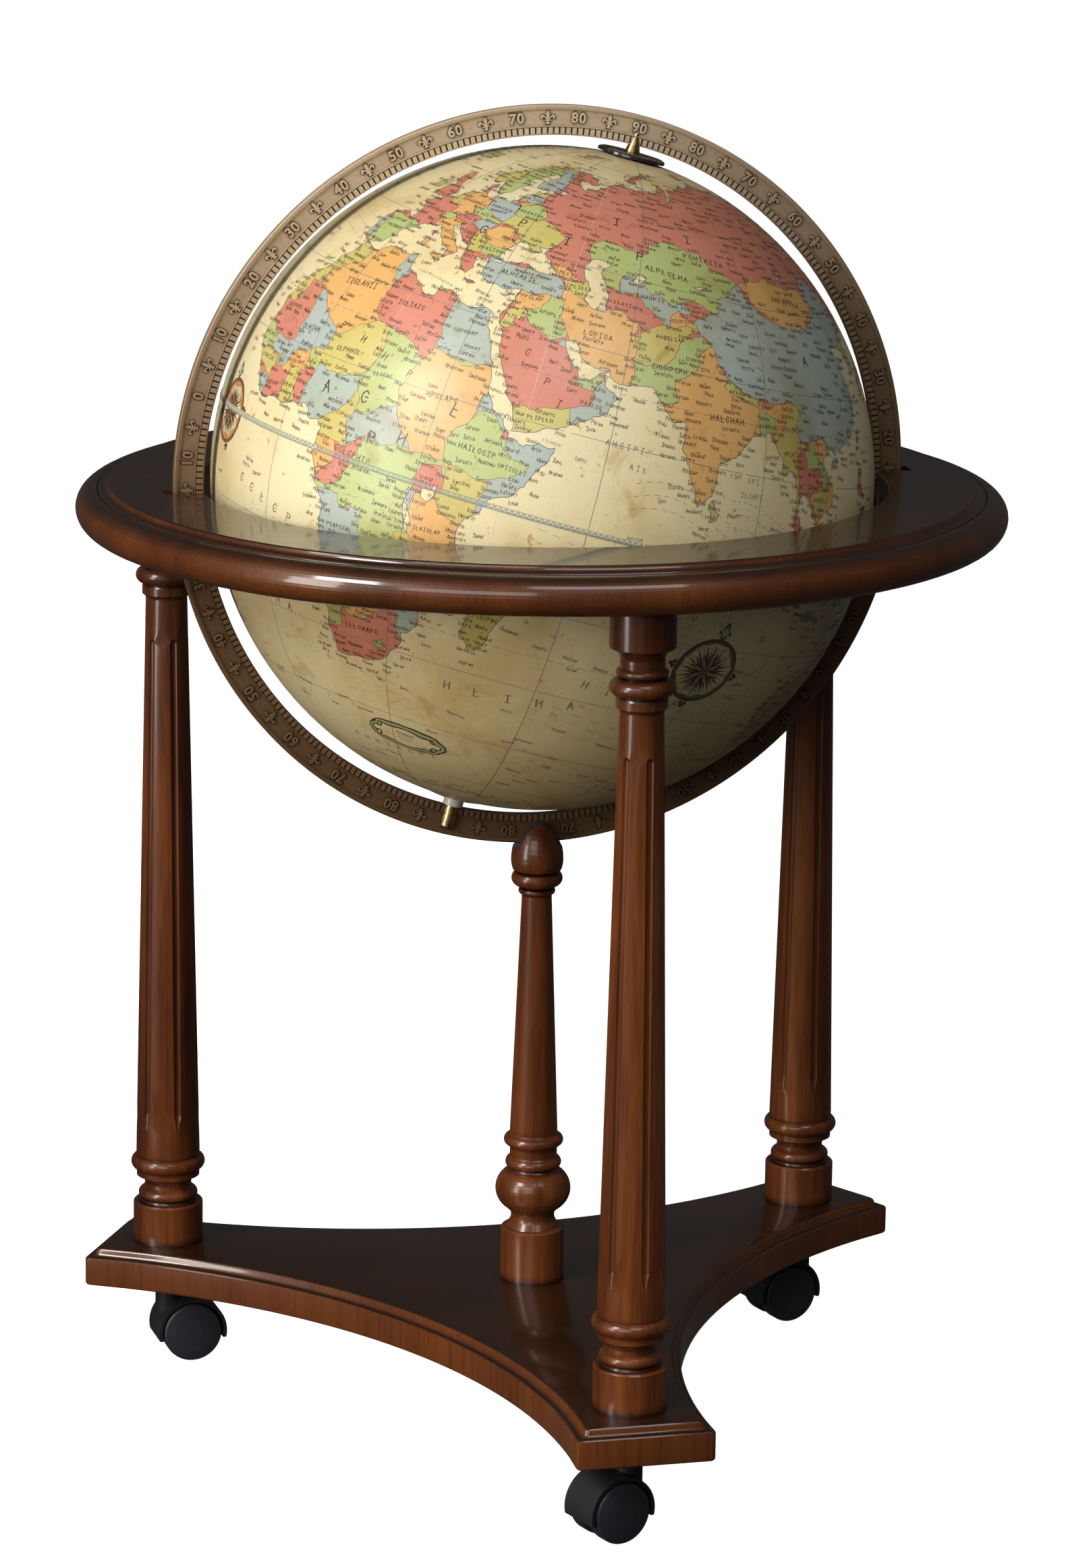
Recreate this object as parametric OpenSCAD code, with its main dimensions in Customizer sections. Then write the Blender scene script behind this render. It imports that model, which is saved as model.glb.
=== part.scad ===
// Floor-standing globe: a 16-inch ball in a full meridian ring, held by a wooden horizon ring
// on three turned legs, with a slotted centre spindle, a concave-sided base plate and casters.
// Origin: on the floor, under the centre of the ball. +Z is up and -Y is the front leg.
// The meridian ring stands in the XZ plane, with its graduated face towards -Y.

/* [Ball] */
// Diameter of the ball
ball_d = 406.4; // [404:0.1:408]
// Thickness of the pressed-fibre hemispheres
shell_t = 3; // [2:0.5:6]
// Width of the band along the equator
tape_w = 3.2; // [2:0.2:8]
// Lean of the polar axis towards +X at rest
tilt = 15; // [0:1:60]

/* [Meridian ring] */
// Gap between the ball and the ring
ring_gap = 7.7; // [7:0.1:9]
// Radial width of the ring
ring_w = 18.4; // [16:0.1:20]
// Graduated face of the ring, in front of the polar axis
ring_front = 1.6; // [1:0.1:2.5]
// Back face of the ring, behind the polar axis
ring_back = 3.4; // [3:0.1:4.5]
// Width of the raised outer rim
rim_w = 2.9; // [2:0.1:4]
// Height of the raised outer rim above the graduated face
rim_rise = 0.6; // [0.3:0.1:1]

/* [Pivots and hour dial] */
// Radius of the two pivot pins
pin_r = 2; // [1.5:0.1:2]
// Radius of the hour dial at the north pole
dial_r = 20.9; // [16:0.1:24]
// Length of the brass cone over the north pivot
cone_len = 11.7; // [9:0.1:13]
// Radius of the cone at the dial
cone_r = 4.7; // [4:0.1:6]
// Radius of the brass stud over the south pivot
stud_r = 4.75; // [4:0.05:5]
// Radius of the white tube at the south pole
spacer_r = 6.3; // [5:0.1:7]
// Radius of the white dish at the south pole
cap_r = 25.5; // [20:0.5:30]

/* [Horizon ring] */
// Outer radius of the horizon ring
horizon_r = 285.3; // [280:0.1:292]
// Inner radius of the horizon ring
horizon_in_r = 211.5; // [210.8:0.1:212]
// Thickness of the horizon ring
horizon_t = 27.85; // [26:0.05:32]
// Top of the horizon ring below the centre of the ball
horizon_drop = 0.85; // [0:0.05:3]
// End of the two notches that the meridian ring passes through, from the axis
notch_end = 235; // [233:0.5:240]
// Width of the notches and of the spindle's slot
slot_w = 16; // [15:0.5:17]
// Clear width between the felts that guide the meridian ring
felt_gap = 10.8; // [10.6:0.1:12]

/* [Legs and spindle] */
// Length of a leg, from the base plate to the horizon ring
leg_len = 484.2; // [470:0.1:490]
// Distance of the legs from the axis
leg_circle_r = 244.5; // [240:0.5:252]
// Radius of a leg's foot
leg_foot_r = 22.3; // [21:0.1:23]
// Radius of the tapered shaft at its lower and upper end
shaft_lo_r = 20.4; // [19:0.1:21]
shaft_hi_r = 13.1; // [12:0.1:14]
// Number of flutes round a leg
flutes = 6; // [4:1:8]
// Radius of the cutter that makes a flute
flute_r = 2.6; // [2.2:0.1:3.2]

/* [Base plate] */
// Height of the base plate's underside above the floor
base_h = 56.4; // [54:0.1:60]
// Thickness of the base plate
base_t = 24; // [20:0.5:28]
// Reach of the feet from the axis, at the edge of the top face
foot_reach = 279.5; // [270:1:292]
// Radius of the concave sides, at the edge of the top face
side_r = 419; // [400:1:480]
// Distance of the concave sides from the axis, at the edge of the top face
side_in = 105; // [98:1:120]
// Height of the moulding along the top edge
mould_h = 6.2; // [5:0.1:8]
// How far the moulding stands out from the top face
mould_w = 7; // [5:0.1:9]

/* [Casters] */
// Radius of a caster wheel
wheel_r = 19; // [18:0.1:20]
// Distance of the wheel's axle from the stem
trail = 13; // [12:0.5:15]
// Direction of the wheels from the stem, in degrees, for the front, right and left caster
swivel_front = 199; // [0:1:359]
swivel_right = 196; // [0:1:359]
swivel_left = 3; // [0:1:359]

/* [Hidden] */
$fn = 96;
eps = 0.01;
fit = 0.05;
ball_r = ball_d / 2;
ring_in = ball_r + ring_gap;
ring_out = ring_in + ring_w;
base_top = base_h + base_t;
horizon_z = base_top + leg_len;
centre_h = horizon_z + horizon_t + horizon_drop;
leg_az = [-90, 30, 150];
swivel = [swivel_front, swivel_right, swivel_left];
wood = [0.30, 0.13, 0.08];
bronze = [0.55, 0.43, 0.29];
brass = [0.78, 0.60, 0.32];
steel = [0.62, 0.62, 0.62];
paper = [0.86, 0.79, 0.58];
felt = [0.05, 0.05, 0.05];
black = [0.09, 0.09, 0.10];
white = [0.85, 0.84, 0.80];

// Wood screws through the base plate into the legs
screw_off = 13;
screw_r = 2.2;
screw_head_r = 4.2;
screw_in = 16;

// Leg shaft, heights of its ends above the base plate
shaft_foot = 60;
shaft_top = 422;

// Flutes
flute_depth = 1.4;
flute_turn = 8;

// Bolts
bolt_r = 4;
bolt_in = 45;
bore_deep = 9;
washer_r = 11;
washer_t = 1.6;
dowel_r = 3;
dowel_down = 22;
dowel_up = 18;

// Spindle, heights above the base plate
acorn_z = 272.6;
acorn_r = 16.4;
acorn_foot_r = 17.7;
ogive_r = 36.8;
slot_floor = centre_h - base_top - ring_out - 2.6;

// Casters
hood_r = 22.4;
hood_in_r = 20.2;
hood_w = 30;
hood_low = 4.7;
web_t = 9.2;
wheel_in = 5.4;
wheel_out = 15.6;
wheel_dome = 1.4;
axle_r = 2.5;
stem_r = 4;
socket_r = 5.5;
socket_len = 34;
flange_t = 1.5;
boss_r = 8.5;
boss_top = base_h - flange_t - 0.6;

// Pole fittings, distances from the centre of the ball along the polar axis
dial_gap = 0.3;
dial_top = ball_r + 3.1;
cone_start = dial_top + 0.2;
pin_inner = ball_r - 16;
bush_r = 6;
spacer_end = ring_in - 0.4;
cap_top = ball_r + 3;
stud_start = ring_in + 0.1;
stud_len = 13.5;

// Points of an arc about (x, y), from angle a0 to a1
function arc(x, y, r, a0, a1, n = 8) =
    [for (i = [0:n]) let (a = a0 + (a1 - a0) * i / n) [x + r * cos(a), y + r * sin(a)]];

module at_pole(south = false) {
    translate([0, 0, centre_h])
        rotate([0, tilt + (south ? 180 : 0), 0])
            children();
}

module at_leg(i) {
    rotate([0, 0, leg_az[i]])
        translate([leg_circle_r, 0, 0])
            children();
}

// Base plate: its outline, grown by d on every side
module base_outline(d) {
    reach = foot_reach + d;
    difference() {
        polygon([for (a = [-90, 30, 150]) [2 * reach * cos(a + 180), 2 * reach * sin(a + 180)]]);
        for (a = [-30, 90, 210])
            rotate([0, 0, a])
                translate([side_in + side_r, 0])
                    circle(r = side_r - d, $fn = 360);
    }
}

// Each pair is a slab of the moulded edge: its height above the underside and how far it grows
module base_plate() {
    fascia = base_t - mould_h;
    slabs = [
        [0, 1, mould_w - 0.8],
        [1, fascia - 0.6, mould_w],
        [fascia - 0.6, fascia, mould_w - 0.6],
        [fascia, fascia + 1.6, mould_w - 2],
        [fascia + 1.6, fascia + 2.6, mould_w - 2.8],
        [fascia + 2.6, fascia + 4.4, mould_w - 4.6],
        [fascia + 4.4, base_t - 0.6, mould_w - 5.6],
        [base_t - 0.6, base_t, 0]
    ];
    color(wood)
        translate([0, 0, base_h])
            difference() {
                for (s = slabs)
                    translate([0, 0, s[0]])
                        linear_extrude(height = s[1] - s[0])
                            base_outline(s[2]);
                for (i = [0:2])
                    rotate([0, 0, leg_az[i]])
                        translate([leg_circle_r, 0, 0]) {
                            translate([0, 0, -1])
                                cylinder(h = base_t + 2, r = socket_r + fit);
                            for (s = [-1, 1])
                                translate([0, s * screw_off, 0]) {
                                    translate([0, 0, -1])
                                        cylinder(h = base_t + 2, r = screw_r + fit);
                                    translate([0, 0, -eps])
                                        cylinder(h = 3 + eps, r1 = screw_head_r + fit, r2 = screw_r + fit);
                                }
                        }
                translate([0, 0, -1])
                    cylinder(h = base_t + 2, r = bolt_r + fit);
                translate([0, 0, -eps])
                    cylinder(h = bore_deep, r = washer_r + 0.5);
            }
}

// Turned leg: half profile from its foot up
module leg_profile() {
    polygon(concat(
        [[0, 0], [leg_foot_r, 0], [leg_foot_r, 25]],
        [[leg_foot_r - 0.8, 26], [17.6, 26.2], [17.2, 27.4]],
        arc(15.2, 31, 3.8, -62, 70),
        [[15.2, 35.6], [14.9, 38], [15.6, 41], [17.4, 42.6], [20.2, 43.2], [20.2, 46.4]],
        arc(18.7, 52, 5, -72, 72, 10),
        [[shaft_lo_r, 57.6], [shaft_lo_r, shaft_foot], [shaft_hi_r, shaft_top]],
        [[13.6, 423.4], [15.3, 424.6], [15.3, 429.4], [14.6, 430.8]],
        arc(14.1, 436.4, 5.2, -75, 75, 10),
        [[13.8, 442]],
        arc(12.9, 445, 2.6, -60, 70, 6),
        [[13.2, 448]],
        arc(19.7, 452.8, 6.6, 190, 98),
        [[19.5, 460], [19.5, leg_len], [0, leg_len]]
    ));
}

module flute_cutters() {
    lean = atan((shaft_lo_r - shaft_hi_r) / (shaft_top - shaft_foot));
    bottom = 87;
    top = shaft_top - 27.5;
    point = 11;
    for (k = [0:flutes - 1])
        rotate([0, 0, flute_turn + k * 360 / flutes])
            translate([shaft_lo_r + flute_r - flute_depth, 0, shaft_foot])
                rotate([0, -lean, 0]) {
                    translate([0, 0, bottom - shaft_foot])
                        cylinder(h = top - bottom, r = flute_r, $fn = 32);
                    translate([0, 0, bottom - point - shaft_foot])
                        cylinder(h = point, r1 = flute_r - flute_depth, r2 = flute_r, $fn = 32);
                    translate([0, 0, top - shaft_foot])
                        sphere(r = flute_r, $fn = 32);
                }
}

module leg(i) {
    color(wood)
        at_leg(i)
            translate([0, 0, base_top])
                difference() {
                    rotate_extrude()
                        leg_profile();
                    flute_cutters();
                    translate([0, 0, -eps])
                        cylinder(h = socket_len - base_t + 3, r = socket_r + fit);
                    for (s = [-1, 1])
                        translate([0, s * screw_off, -eps])
                            cylinder(h = screw_in + 1, r = screw_r + fit);
                    translate([0, 0, leg_len - dowel_down - 1])
                        cylinder(h = dowel_down + 2, r = dowel_r + fit);
                }
}

module leg_front() {
    leg(0);
}

module leg_right() {
    leg(1);
}

module leg_left() {
    leg(2);
}

// Ogival top of the spindle, shrunk by s, heights above the base plate
module acorn_profile(s) {
    polygon(concat(
        [[0, 263.6]],
        arc(acorn_r - acorn_foot_r - s, acorn_z, acorn_foot_r, -21, -5, 3),
        arc(acorn_r - ogive_r, acorn_z, ogive_r - s, 0, acos((ogive_r - acorn_r) / (ogive_r - s)), 12)
    ));
}

module spindle_profile() {
    polygon(concat(
        [[0, 0], [20, 0], [20, 32.6], [19.2, 33.5], [17, 33.9]],
        arc(21, 41, 7.3, 205, 160, 6),
        arc(9.3, 58.6, 14.5, -58, 62, 14),
        [[15.4, 72.4]],
        arc(13.9, 76, 3.8, -50, 62, 6),
        [[14.9, 80.4], [14.9, 85.6]],
        arc(15.2, 90.6, 3.6, -80, 80),
        [[15, 95.2], [15, 98], [9.4, 249.6]],
        arc(9.4, 252.5, 2.2, -70, 70, 6),
        arc(11.1, 260.6, 5, -78, 78),
        [[14.6, 266.2], [0, 266.2]]
    ));
}

module centre_spindle() {
    color(wood)
        translate([0, 0, base_top])
            difference() {
                union() {
                    rotate_extrude()
                        spindle_profile();
                    rotate_extrude()
                        acorn_profile(0);
                }
                translate([-30, -slot_w / 2, slot_floor])
                    cube([60, slot_w, 60]);
                translate([0, 0, -eps])
                    cylinder(h = bolt_in + 1, r = bolt_r + fit);
            }
}

// Felt that lines the slot: a floor under the meridian ring and a wall on each side of it
module cradle_felt() {
    wall = (slot_w - felt_gap) / 2;
    color(felt)
        translate([0, 0, base_top])
            intersection() {
                rotate_extrude()
                    acorn_profile(0.5);
                difference() {
                    translate([-30, -slot_w / 2 + fit, slot_floor + fit])
                        cube([60, slot_w - 2 * fit, 18]);
                    translate([-31, -felt_gap / 2, slot_floor + 2.3])
                        cube([62, felt_gap, 30]);
                }
            }
}

module horizon_profile() {
    nose_r = 11.9;
    polygon(concat(
        [[horizon_in_r, 1], [horizon_in_r, horizon_t - 0.8], [horizon_in_r + 0.8, horizon_t]],
        [[horizon_r - 21.5, horizon_t], [horizon_r - 20.7, horizon_t - 0.4]],
        arc(horizon_r - 16.2, horizon_t + 0.1, 4, 190, 270, 6),
        arc(horizon_r - 14.9, horizon_t - 4.6, 1.3, 120, -20, 6),
        [[horizon_r - 13.5, horizon_t - 5]],
        arc(horizon_r - nose_r, nose_r, nose_r, 95, -90, 20),
        [[horizon_in_r + 1, 0]]
    ));
}

module horizon_ring() {
    color(wood)
        translate([0, 0, horizon_z])
            difference() {
                rotate_extrude($fn = 180)
                    horizon_profile();
                for (s = [0, 180])
                    rotate([0, 0, s])
                        translate([horizon_in_r - 10, -slot_w / 2, -1])
                            cube([notch_end - horizon_in_r + 10, slot_w, horizon_t + 2]);
                for (i = [0:2])
                    at_leg(i)
                        translate([0, 0, -eps])
                            cylinder(h = dowel_up + 0.5, r = dowel_r + fit);
            }
}

module notch_felts() {
    wall = (slot_w - felt_gap) / 2;
    color(felt)
        translate([0, 0, horizon_z + horizon_t / 2])
            for (s = [-1, 1])
                for (t = [-1, 1])
                    translate([s * (ring_in + ring_out) / 2, t * (felt_gap + wall - fit) / 2, 0])
                        cube([15, wall - fit, horizon_t - 3], center = true);
}

module leg_screws() {
    color(steel)
        for (i = [0:2])
            at_leg(i)
                for (s = [-1, 1])
                    translate([0, s * screw_off, base_h + 0.1]) {
                        cylinder(h = 2.9, r1 = screw_head_r, r2 = screw_r);
                        cylinder(h = base_t + screw_in - 0.5, r = screw_r);
                    }
}

module ring_bolts() {
    color(steel)
        for (i = [0:2])
            at_leg(i)
                translate([0, 0, horizon_z - dowel_down])
                    cylinder(h = dowel_down + dowel_up, r = dowel_r);
}

module spindle_bolt() {
    color(steel)
        translate([0, 0, base_h + bore_deep - washer_t]) {
            translate([0, 0, -5.5])
                cylinder(h = 5.5, r = 7.5, $fn = 6);
            translate([0, 0, -eps])
                cylinder(h = base_t - bore_deep + washer_t + bolt_in, r = bolt_r);
        }
}

module spindle_washer() {
    color(steel)
        translate([0, 0, base_h + bore_deep - washer_t])
            difference() {
                cylinder(h = washer_t - fit, r = washer_r);
                translate([0, 0, -1])
                    cylinder(h = washer_t + 2, r = bolt_r + fit);
            }
}

module caster_sockets() {
    color(steel)
        for (i = [0:2])
            at_leg(i)
                translate([0, 0, base_h])
                    difference() {
                        union() {
                            translate([0, 0, -flange_t])
                                cylinder(h = flange_t, r = 11);
                            cylinder(h = socket_len, r = socket_r);
                        }
                        translate([0, 0, -flange_t - 1])
                            cylinder(h = flange_t + socket_len - 1, r = stem_r + fit);
                    }
}

// Meridian ring: profile in radius and distance in front of the polar axis
module ring_profile() {
    rim_in = ring_out - rim_w;
    polygon([
        [ring_in, -ring_back + 0.4],
        [ring_in + 0.4, -ring_back],
        [ring_out - 0.4, -ring_back],
        [ring_out, -ring_back + 0.4],
        [ring_out, ring_front + rim_rise - 0.4],
        [ring_out - 0.4, ring_front + rim_rise],
        [rim_in, ring_front + rim_rise],
        [rim_in - 0.3, ring_front],
        [ring_in, ring_front]
    ]);
}

module meridian_ring() {
    color(bronze)
        difference() {
            translate([0, 0, centre_h])
                rotate([90, 0, 0])
                    rotate_extrude($fn = 180)
                        ring_profile();
            at_pole() {
                translate([0, 0, cone_start])
                    cylinder(h = cone_len + fit, r1 = cone_r + fit, r2 = 1.6 + fit);
            }
            at_pole(south = true)
                translate([0, 0, ring_in - 5])
                    cylinder(h = stud_start + stud_len + fit - ring_in + 5, r = stud_r + fit);
        }
}

module north_pivot_cone() {
    color(brass)
        at_pole()
            translate([0, 0, cone_start])
                difference() {
                    cylinder(h = cone_len, r1 = cone_r, r2 = 1.6);
                    translate([0, 0, -1])
                        cylinder(h = 10.2, r = pin_r + fit / 5);
                }
}

module north_pivot_pin() {
    color(steel)
        at_pole()
            translate([0, 0, pin_inner])
                cylinder(h = cone_start + 9 - pin_inner, r = pin_r);
}

module south_pivot_stud() {
    color(brass)
        at_pole(south = true)
            translate([0, 0, stud_start])
                difference() {
                    union() {
                        cylinder(h = stud_len - 0.6, r = stud_r);
                        translate([0, 0, stud_len - 0.6])
                            cylinder(h = 0.6, r1 = stud_r, r2 = stud_r - 0.6);
                    }
                    translate([0, 0, -1])
                        cylinder(h = 11.2, r = pin_r + fit / 5);
                }
}

module south_pivot_pin() {
    color(steel)
        at_pole(south = true)
            translate([0, 0, pin_inner])
                cylinder(h = stud_start + 10 - pin_inner, r = pin_r);
}

module time_dial() {
    color(black)
        at_pole()
            rotate_extrude()
                polygon([
                    [pin_r + fit, ball_r + dial_gap],
                    [dial_r, ball_r + dial_gap],
                    [dial_r, dial_top - 1.3],
                    [dial_r - 0.5, dial_top - 0.8],
                    [dial_r - 2.6, dial_top],
                    [pin_r + fit, dial_top]
                ]);
}

// One half of the ball, from the equator to the pole on the +Z side
module hemisphere() {
    difference() {
        sphere(r = ball_r, $fn = 360);
        sphere(r = ball_r - shell_t, $fn = 360);
        translate([-ball_d, -ball_d, -2 * ball_d])
            cube([2 * ball_d, 2 * ball_d, 2 * ball_d]);
        cylinder(h = ball_d, r = bush_r + fit);
    }
}

module north_hemisphere() {
    color(paper)
        at_pole()
            hemisphere();
}

module south_hemisphere() {
    color(paper)
        at_pole(south = true)
            hemisphere();
}

module equator_tape() {
    color(paper)
        at_pole()
            translate([0, 0, -tape_w / 2])
                difference() {
                    cylinder(h = tape_w, r = ball_r + 0.35, $fn = 360);
                    translate([0, 0, -1])
                        cylinder(h = tape_w + 2, r = ball_r + 0.03, $fn = 360);
                }
}

module joining_hoop() {
    hoop_r = ball_r - shell_t - 0.6;
    color(wood)
        at_pole()
            translate([0, 0, -12])
                difference() {
                    cylinder(h = 24, r = hoop_r, $fn = 360);
                    translate([0, 0, -1])
                        cylinder(h = 26, r = hoop_r - 3, $fn = 360);
                }
}

// Bush with a flange inside the shell, up to a given distance from the centre
module bush(top) {
    flange = ball_r - shell_t - 0.7;
    difference() {
        union() {
            translate([0, 0, flange - 3])
                cylinder(h = 3, r = 12);
            translate([0, 0, pin_inner - 1])
                cylinder(h = top - pin_inner + 1, r = bush_r);
        }
        translate([0, 0, pin_inner - 2])
            cylinder(h = 30, r = pin_r + fit);
    }
}

module north_bushing() {
    color(white)
        at_pole()
            bush(ball_r - 0.2);
}

// White tube at the south pole, with its flange inside the shell
module south_spacer() {
    color(white)
        at_pole(south = true) {
            bush(ball_r + 1);
            difference() {
                translate([0, 0, ball_r + 0.1])
                    cylinder(h = spacer_end - ball_r - 0.1, r = spacer_r);
                translate([0, 0, ball_r - 1])
                    cylinder(h = 20, r = pin_r + fit);
            }
        }
}

module south_cap() {
    rim_z = sqrt(pow(ball_r, 2) - pow(cap_r, 2)) + 0.25;
    sag = cap_top - rim_z;
    dome_r = (pow(cap_r, 2) + pow(sag, 2)) / (2 * sag);
    hole = spacer_r + fit;
    start = acos(hole / dome_r);
    stop = acos(cap_r / dome_r);
    color(white)
        at_pole(south = true)
            difference() {
                rotate_extrude($fn = 180)
                    polygon(concat(
                        [[hole, ball_r - 3]],
                        arc(0, cap_top - dome_r, dome_r, start, stop, 12),
                        [[cap_r, rim_z - 0.2], [cap_r - 1, ball_r - 3]]
                    ));
                sphere(r = ball_r + 0.05, $fn = 360);
            }
}

// Casters: in their own frame the stem is on Z and the wheels are towards +X
module at_caster(i) {
    at_leg(i)
        rotate([0, 0, swivel[i] - leg_az[i]])
            children();
}

module at_axle() {
    translate([trail, 0, wheel_r])
        children();
}

module caster_hood(i) {
    color(black)
        at_caster(i)
            difference() {
                union() {
                    difference() {
                        union() {
                            at_axle()
                                rotate([90, 0, 0])
                                    cylinder(h = hood_w, r = hood_r, center = true);
                            translate([0, 0, wheel_r + 5])
                                cylinder(h = boss_top - wheel_r - 5, r = boss_r);
                        }
                        at_axle()
                            rotate([90, 0, 0])
                                cylinder(h = hood_w + 2, r = hood_in_r, center = true);
                        at_axle()
                            translate([-40, -40, -60 - hood_low])
                                cube([80, 80, 60]);
                    }
                    at_axle()
                        difference() {
                            rotate([90, 0, 0])
                                cylinder(h = web_t, r = hood_in_r + 1, center = true);
                            translate([-40, -40, -60 - hood_low])
                                cube([80, 80, 60]);
                        }
                    at_axle()
                        rotate([90, 0, 0])
                            cylinder(h = web_t, r = 7, center = true);
                }
                at_axle()
                    rotate([90, 0, 0])
                        cylinder(h = web_t + 2, r = axle_r + fit / 5, center = true);
                translate([0, 0, wheel_r + 8])
                    cylinder(h = 60, r = stem_r + fit / 5);
            }
}

module caster_stem(i) {
    color(steel)
        at_caster(i)
            translate([0, 0, wheel_r + 8.2])
                cylinder(h = base_h + socket_len - 6 - wheel_r - 8.2, r = stem_r);
}

module caster_axle(i) {
    color(steel)
        at_caster(i)
            at_axle()
                rotate([90, 0, 0])
                    cylinder(h = 2 * wheel_out - 6, r = axle_r, center = true);
}

// Wheel on the s = 1 or s = -1 side of the hood's web
module caster_wheel(i, s) {
    color(black)
        at_caster(i)
            at_axle()
                rotate([-90 * s, 0, 0])
                    rotate_extrude()
                        polygon(concat(
                            [[axle_r + fit, wheel_in], [wheel_r - 1, wheel_in], [wheel_r, wheel_in + 1]],
                            arc(wheel_r - 2, wheel_out - 2, 2, 0, 80, 5),
                            [[12, wheel_out + 0.9], [6, wheel_out + wheel_dome], [0, wheel_out + wheel_dome]],
                            [[0, wheel_out - 2.8], [axle_r + fit, wheel_out - 2.8]]
                        ));
}

module caster_front_hood() {
    caster_hood(0);
}

module caster_right_hood() {
    caster_hood(1);
}

module caster_left_hood() {
    caster_hood(2);
}

base_plate();
leg_front();
leg_right();
leg_left();
centre_spindle();
horizon_ring();
cradle_felt();
notch_felts();
leg_screws();
ring_bolts();
spindle_bolt();
spindle_washer();
caster_sockets();
meridian_ring();
north_pivot_cone();
north_pivot_pin();
south_pivot_stud();
south_pivot_pin();
time_dial();
north_hemisphere();
south_hemisphere();
equator_tape();
joining_hoop();
north_bushing();
south_spacer();
south_cap();
caster_front_hood();
caster_right_hood();
caster_left_hood();
caster_stem(0);  // caster_front_stem
caster_stem(1);  // caster_right_stem
caster_stem(2);  // caster_left_stem
caster_axle(0);  // caster_front_axle
caster_axle(1);  // caster_right_axle
caster_axle(2);  // caster_left_axle
caster_wheel(0, 1);  // caster_front_wheel_a
caster_wheel(0, -1);  // caster_front_wheel_b
caster_wheel(1, 1);  // caster_right_wheel_a
caster_wheel(1, -1);  // caster_right_wheel_b
caster_wheel(2, 1);  // caster_left_wheel_a
caster_wheel(2, -1);  // caster_left_wheel_b
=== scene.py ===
"""Looks of the floor globe: wood, bronze, casters and the printed map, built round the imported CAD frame."""

import math
import random

import bmesh
import bpy
import numpy as np
from mathutils import Matrix, Vector
from mathutils.geometry import delaunay_2d_cdt


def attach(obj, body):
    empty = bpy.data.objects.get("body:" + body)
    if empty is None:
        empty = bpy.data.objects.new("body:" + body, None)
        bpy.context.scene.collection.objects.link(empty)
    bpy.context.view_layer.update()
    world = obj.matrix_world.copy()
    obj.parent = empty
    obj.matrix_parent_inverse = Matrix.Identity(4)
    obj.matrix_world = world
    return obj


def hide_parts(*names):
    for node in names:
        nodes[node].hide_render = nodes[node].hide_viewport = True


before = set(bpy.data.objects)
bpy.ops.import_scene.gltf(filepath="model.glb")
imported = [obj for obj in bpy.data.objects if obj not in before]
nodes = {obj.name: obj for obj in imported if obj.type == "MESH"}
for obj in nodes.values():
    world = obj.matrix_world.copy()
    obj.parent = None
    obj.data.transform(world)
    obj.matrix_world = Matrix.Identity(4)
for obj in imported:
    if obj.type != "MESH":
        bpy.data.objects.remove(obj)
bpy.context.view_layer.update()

# Lengths are in millimetres, and MM turns them into the frame's metres
MM = 0.001
BALL_R = 203.2
CENTRE = Vector((0, 0, 593.3 * MM))
TILT = math.radians(15)

# From an upright ball at the origin to the ball on its leaning axis
TO_MERIDIAN = Matrix.Translation(CENTRE) @ Matrix.Rotation(TILT, 4, "Y")


# ---------------------------------------------------------------- node helpers


def new_material(name):
    mat = bpy.data.materials.new(name)
    mat.use_nodes = True
    return mat, mat.node_tree, mat.node_tree.nodes["Principled BSDF"]


def node(tree, kind, inputs=None, **props):
    n = tree.nodes.new(kind)
    for key, value in props.items():
        setattr(n, key, value)
    for key, value in (inputs or {}).items():
        if isinstance(value, bpy.types.NodeSocket):
            tree.links.new(value, n.inputs[key])
        else:
            n.inputs[key].default_value = value
    return n


def coords(tree, scale=(1, 1, 1), turn=(0, 0, 0)):
    """The object's own coordinates, turned and scaled for a texture."""
    source = node(tree, "ShaderNodeTexCoord").outputs["Object"]
    inputs = {"Vector": source, "Scale": scale, "Rotation": turn}
    return node(tree, "ShaderNodeMapping", inputs).outputs["Vector"]


def noise(tree, vector, scale, detail=3.0, rough=0.5, warp=0.0):
    inputs = {"Vector": vector, "Scale": scale, "Detail": detail, "Roughness": rough, "Distortion": warp}
    return node(tree, "ShaderNodeTexNoise", inputs).outputs["Fac"]


def ramp(tree, factor, stops):
    """Colours by a factor, from (place, colour) stops."""
    n = node(tree, "ShaderNodeValToRGB", {"Fac": factor})
    elements = n.color_ramp.elements
    while len(elements) < len(stops):
        elements.new(0.5)
    for element, (place, colour) in zip(elements, stops):
        element.position = place
        element.color = (*colour, 1)
    return n.outputs["Color"]


def mix(tree, factor, a, b, blend="MIX"):
    """Blends two colours, each a colour or another node's output."""
    n = node(tree, "ShaderNodeMix", data_type="RGBA", blend_type=blend)
    for socket, value in ((n.inputs["Factor"], factor), (n.inputs[6], a), (n.inputs[7], b)):
        if isinstance(value, bpy.types.NodeSocket):
            tree.links.new(value, socket)
        else:
            socket.default_value = (*value, 1) if isinstance(value, tuple) else value
    return n.outputs[2]


def to_range(tree, value, low, high, start=0.0, stop=1.0):
    """Carries start..stop over to low..high."""
    inputs = {"Value": value, "From Min": start, "From Max": stop, "To Min": low, "To Max": high}
    return node(tree, "ShaderNodeMapRange", inputs).outputs["Result"]


def product(tree, a, b):
    n = node(tree, "ShaderNodeMath", operation="MULTIPLY")
    tree.links.new(a, n.inputs[0])
    tree.links.new(b, n.inputs[1])
    return n.outputs[0]


def axis(tree, vector, name):
    """One coordinate of a vector."""
    return node(tree, "ShaderNodeSeparateXYZ", {"Vector": vector}).outputs[name]


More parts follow.
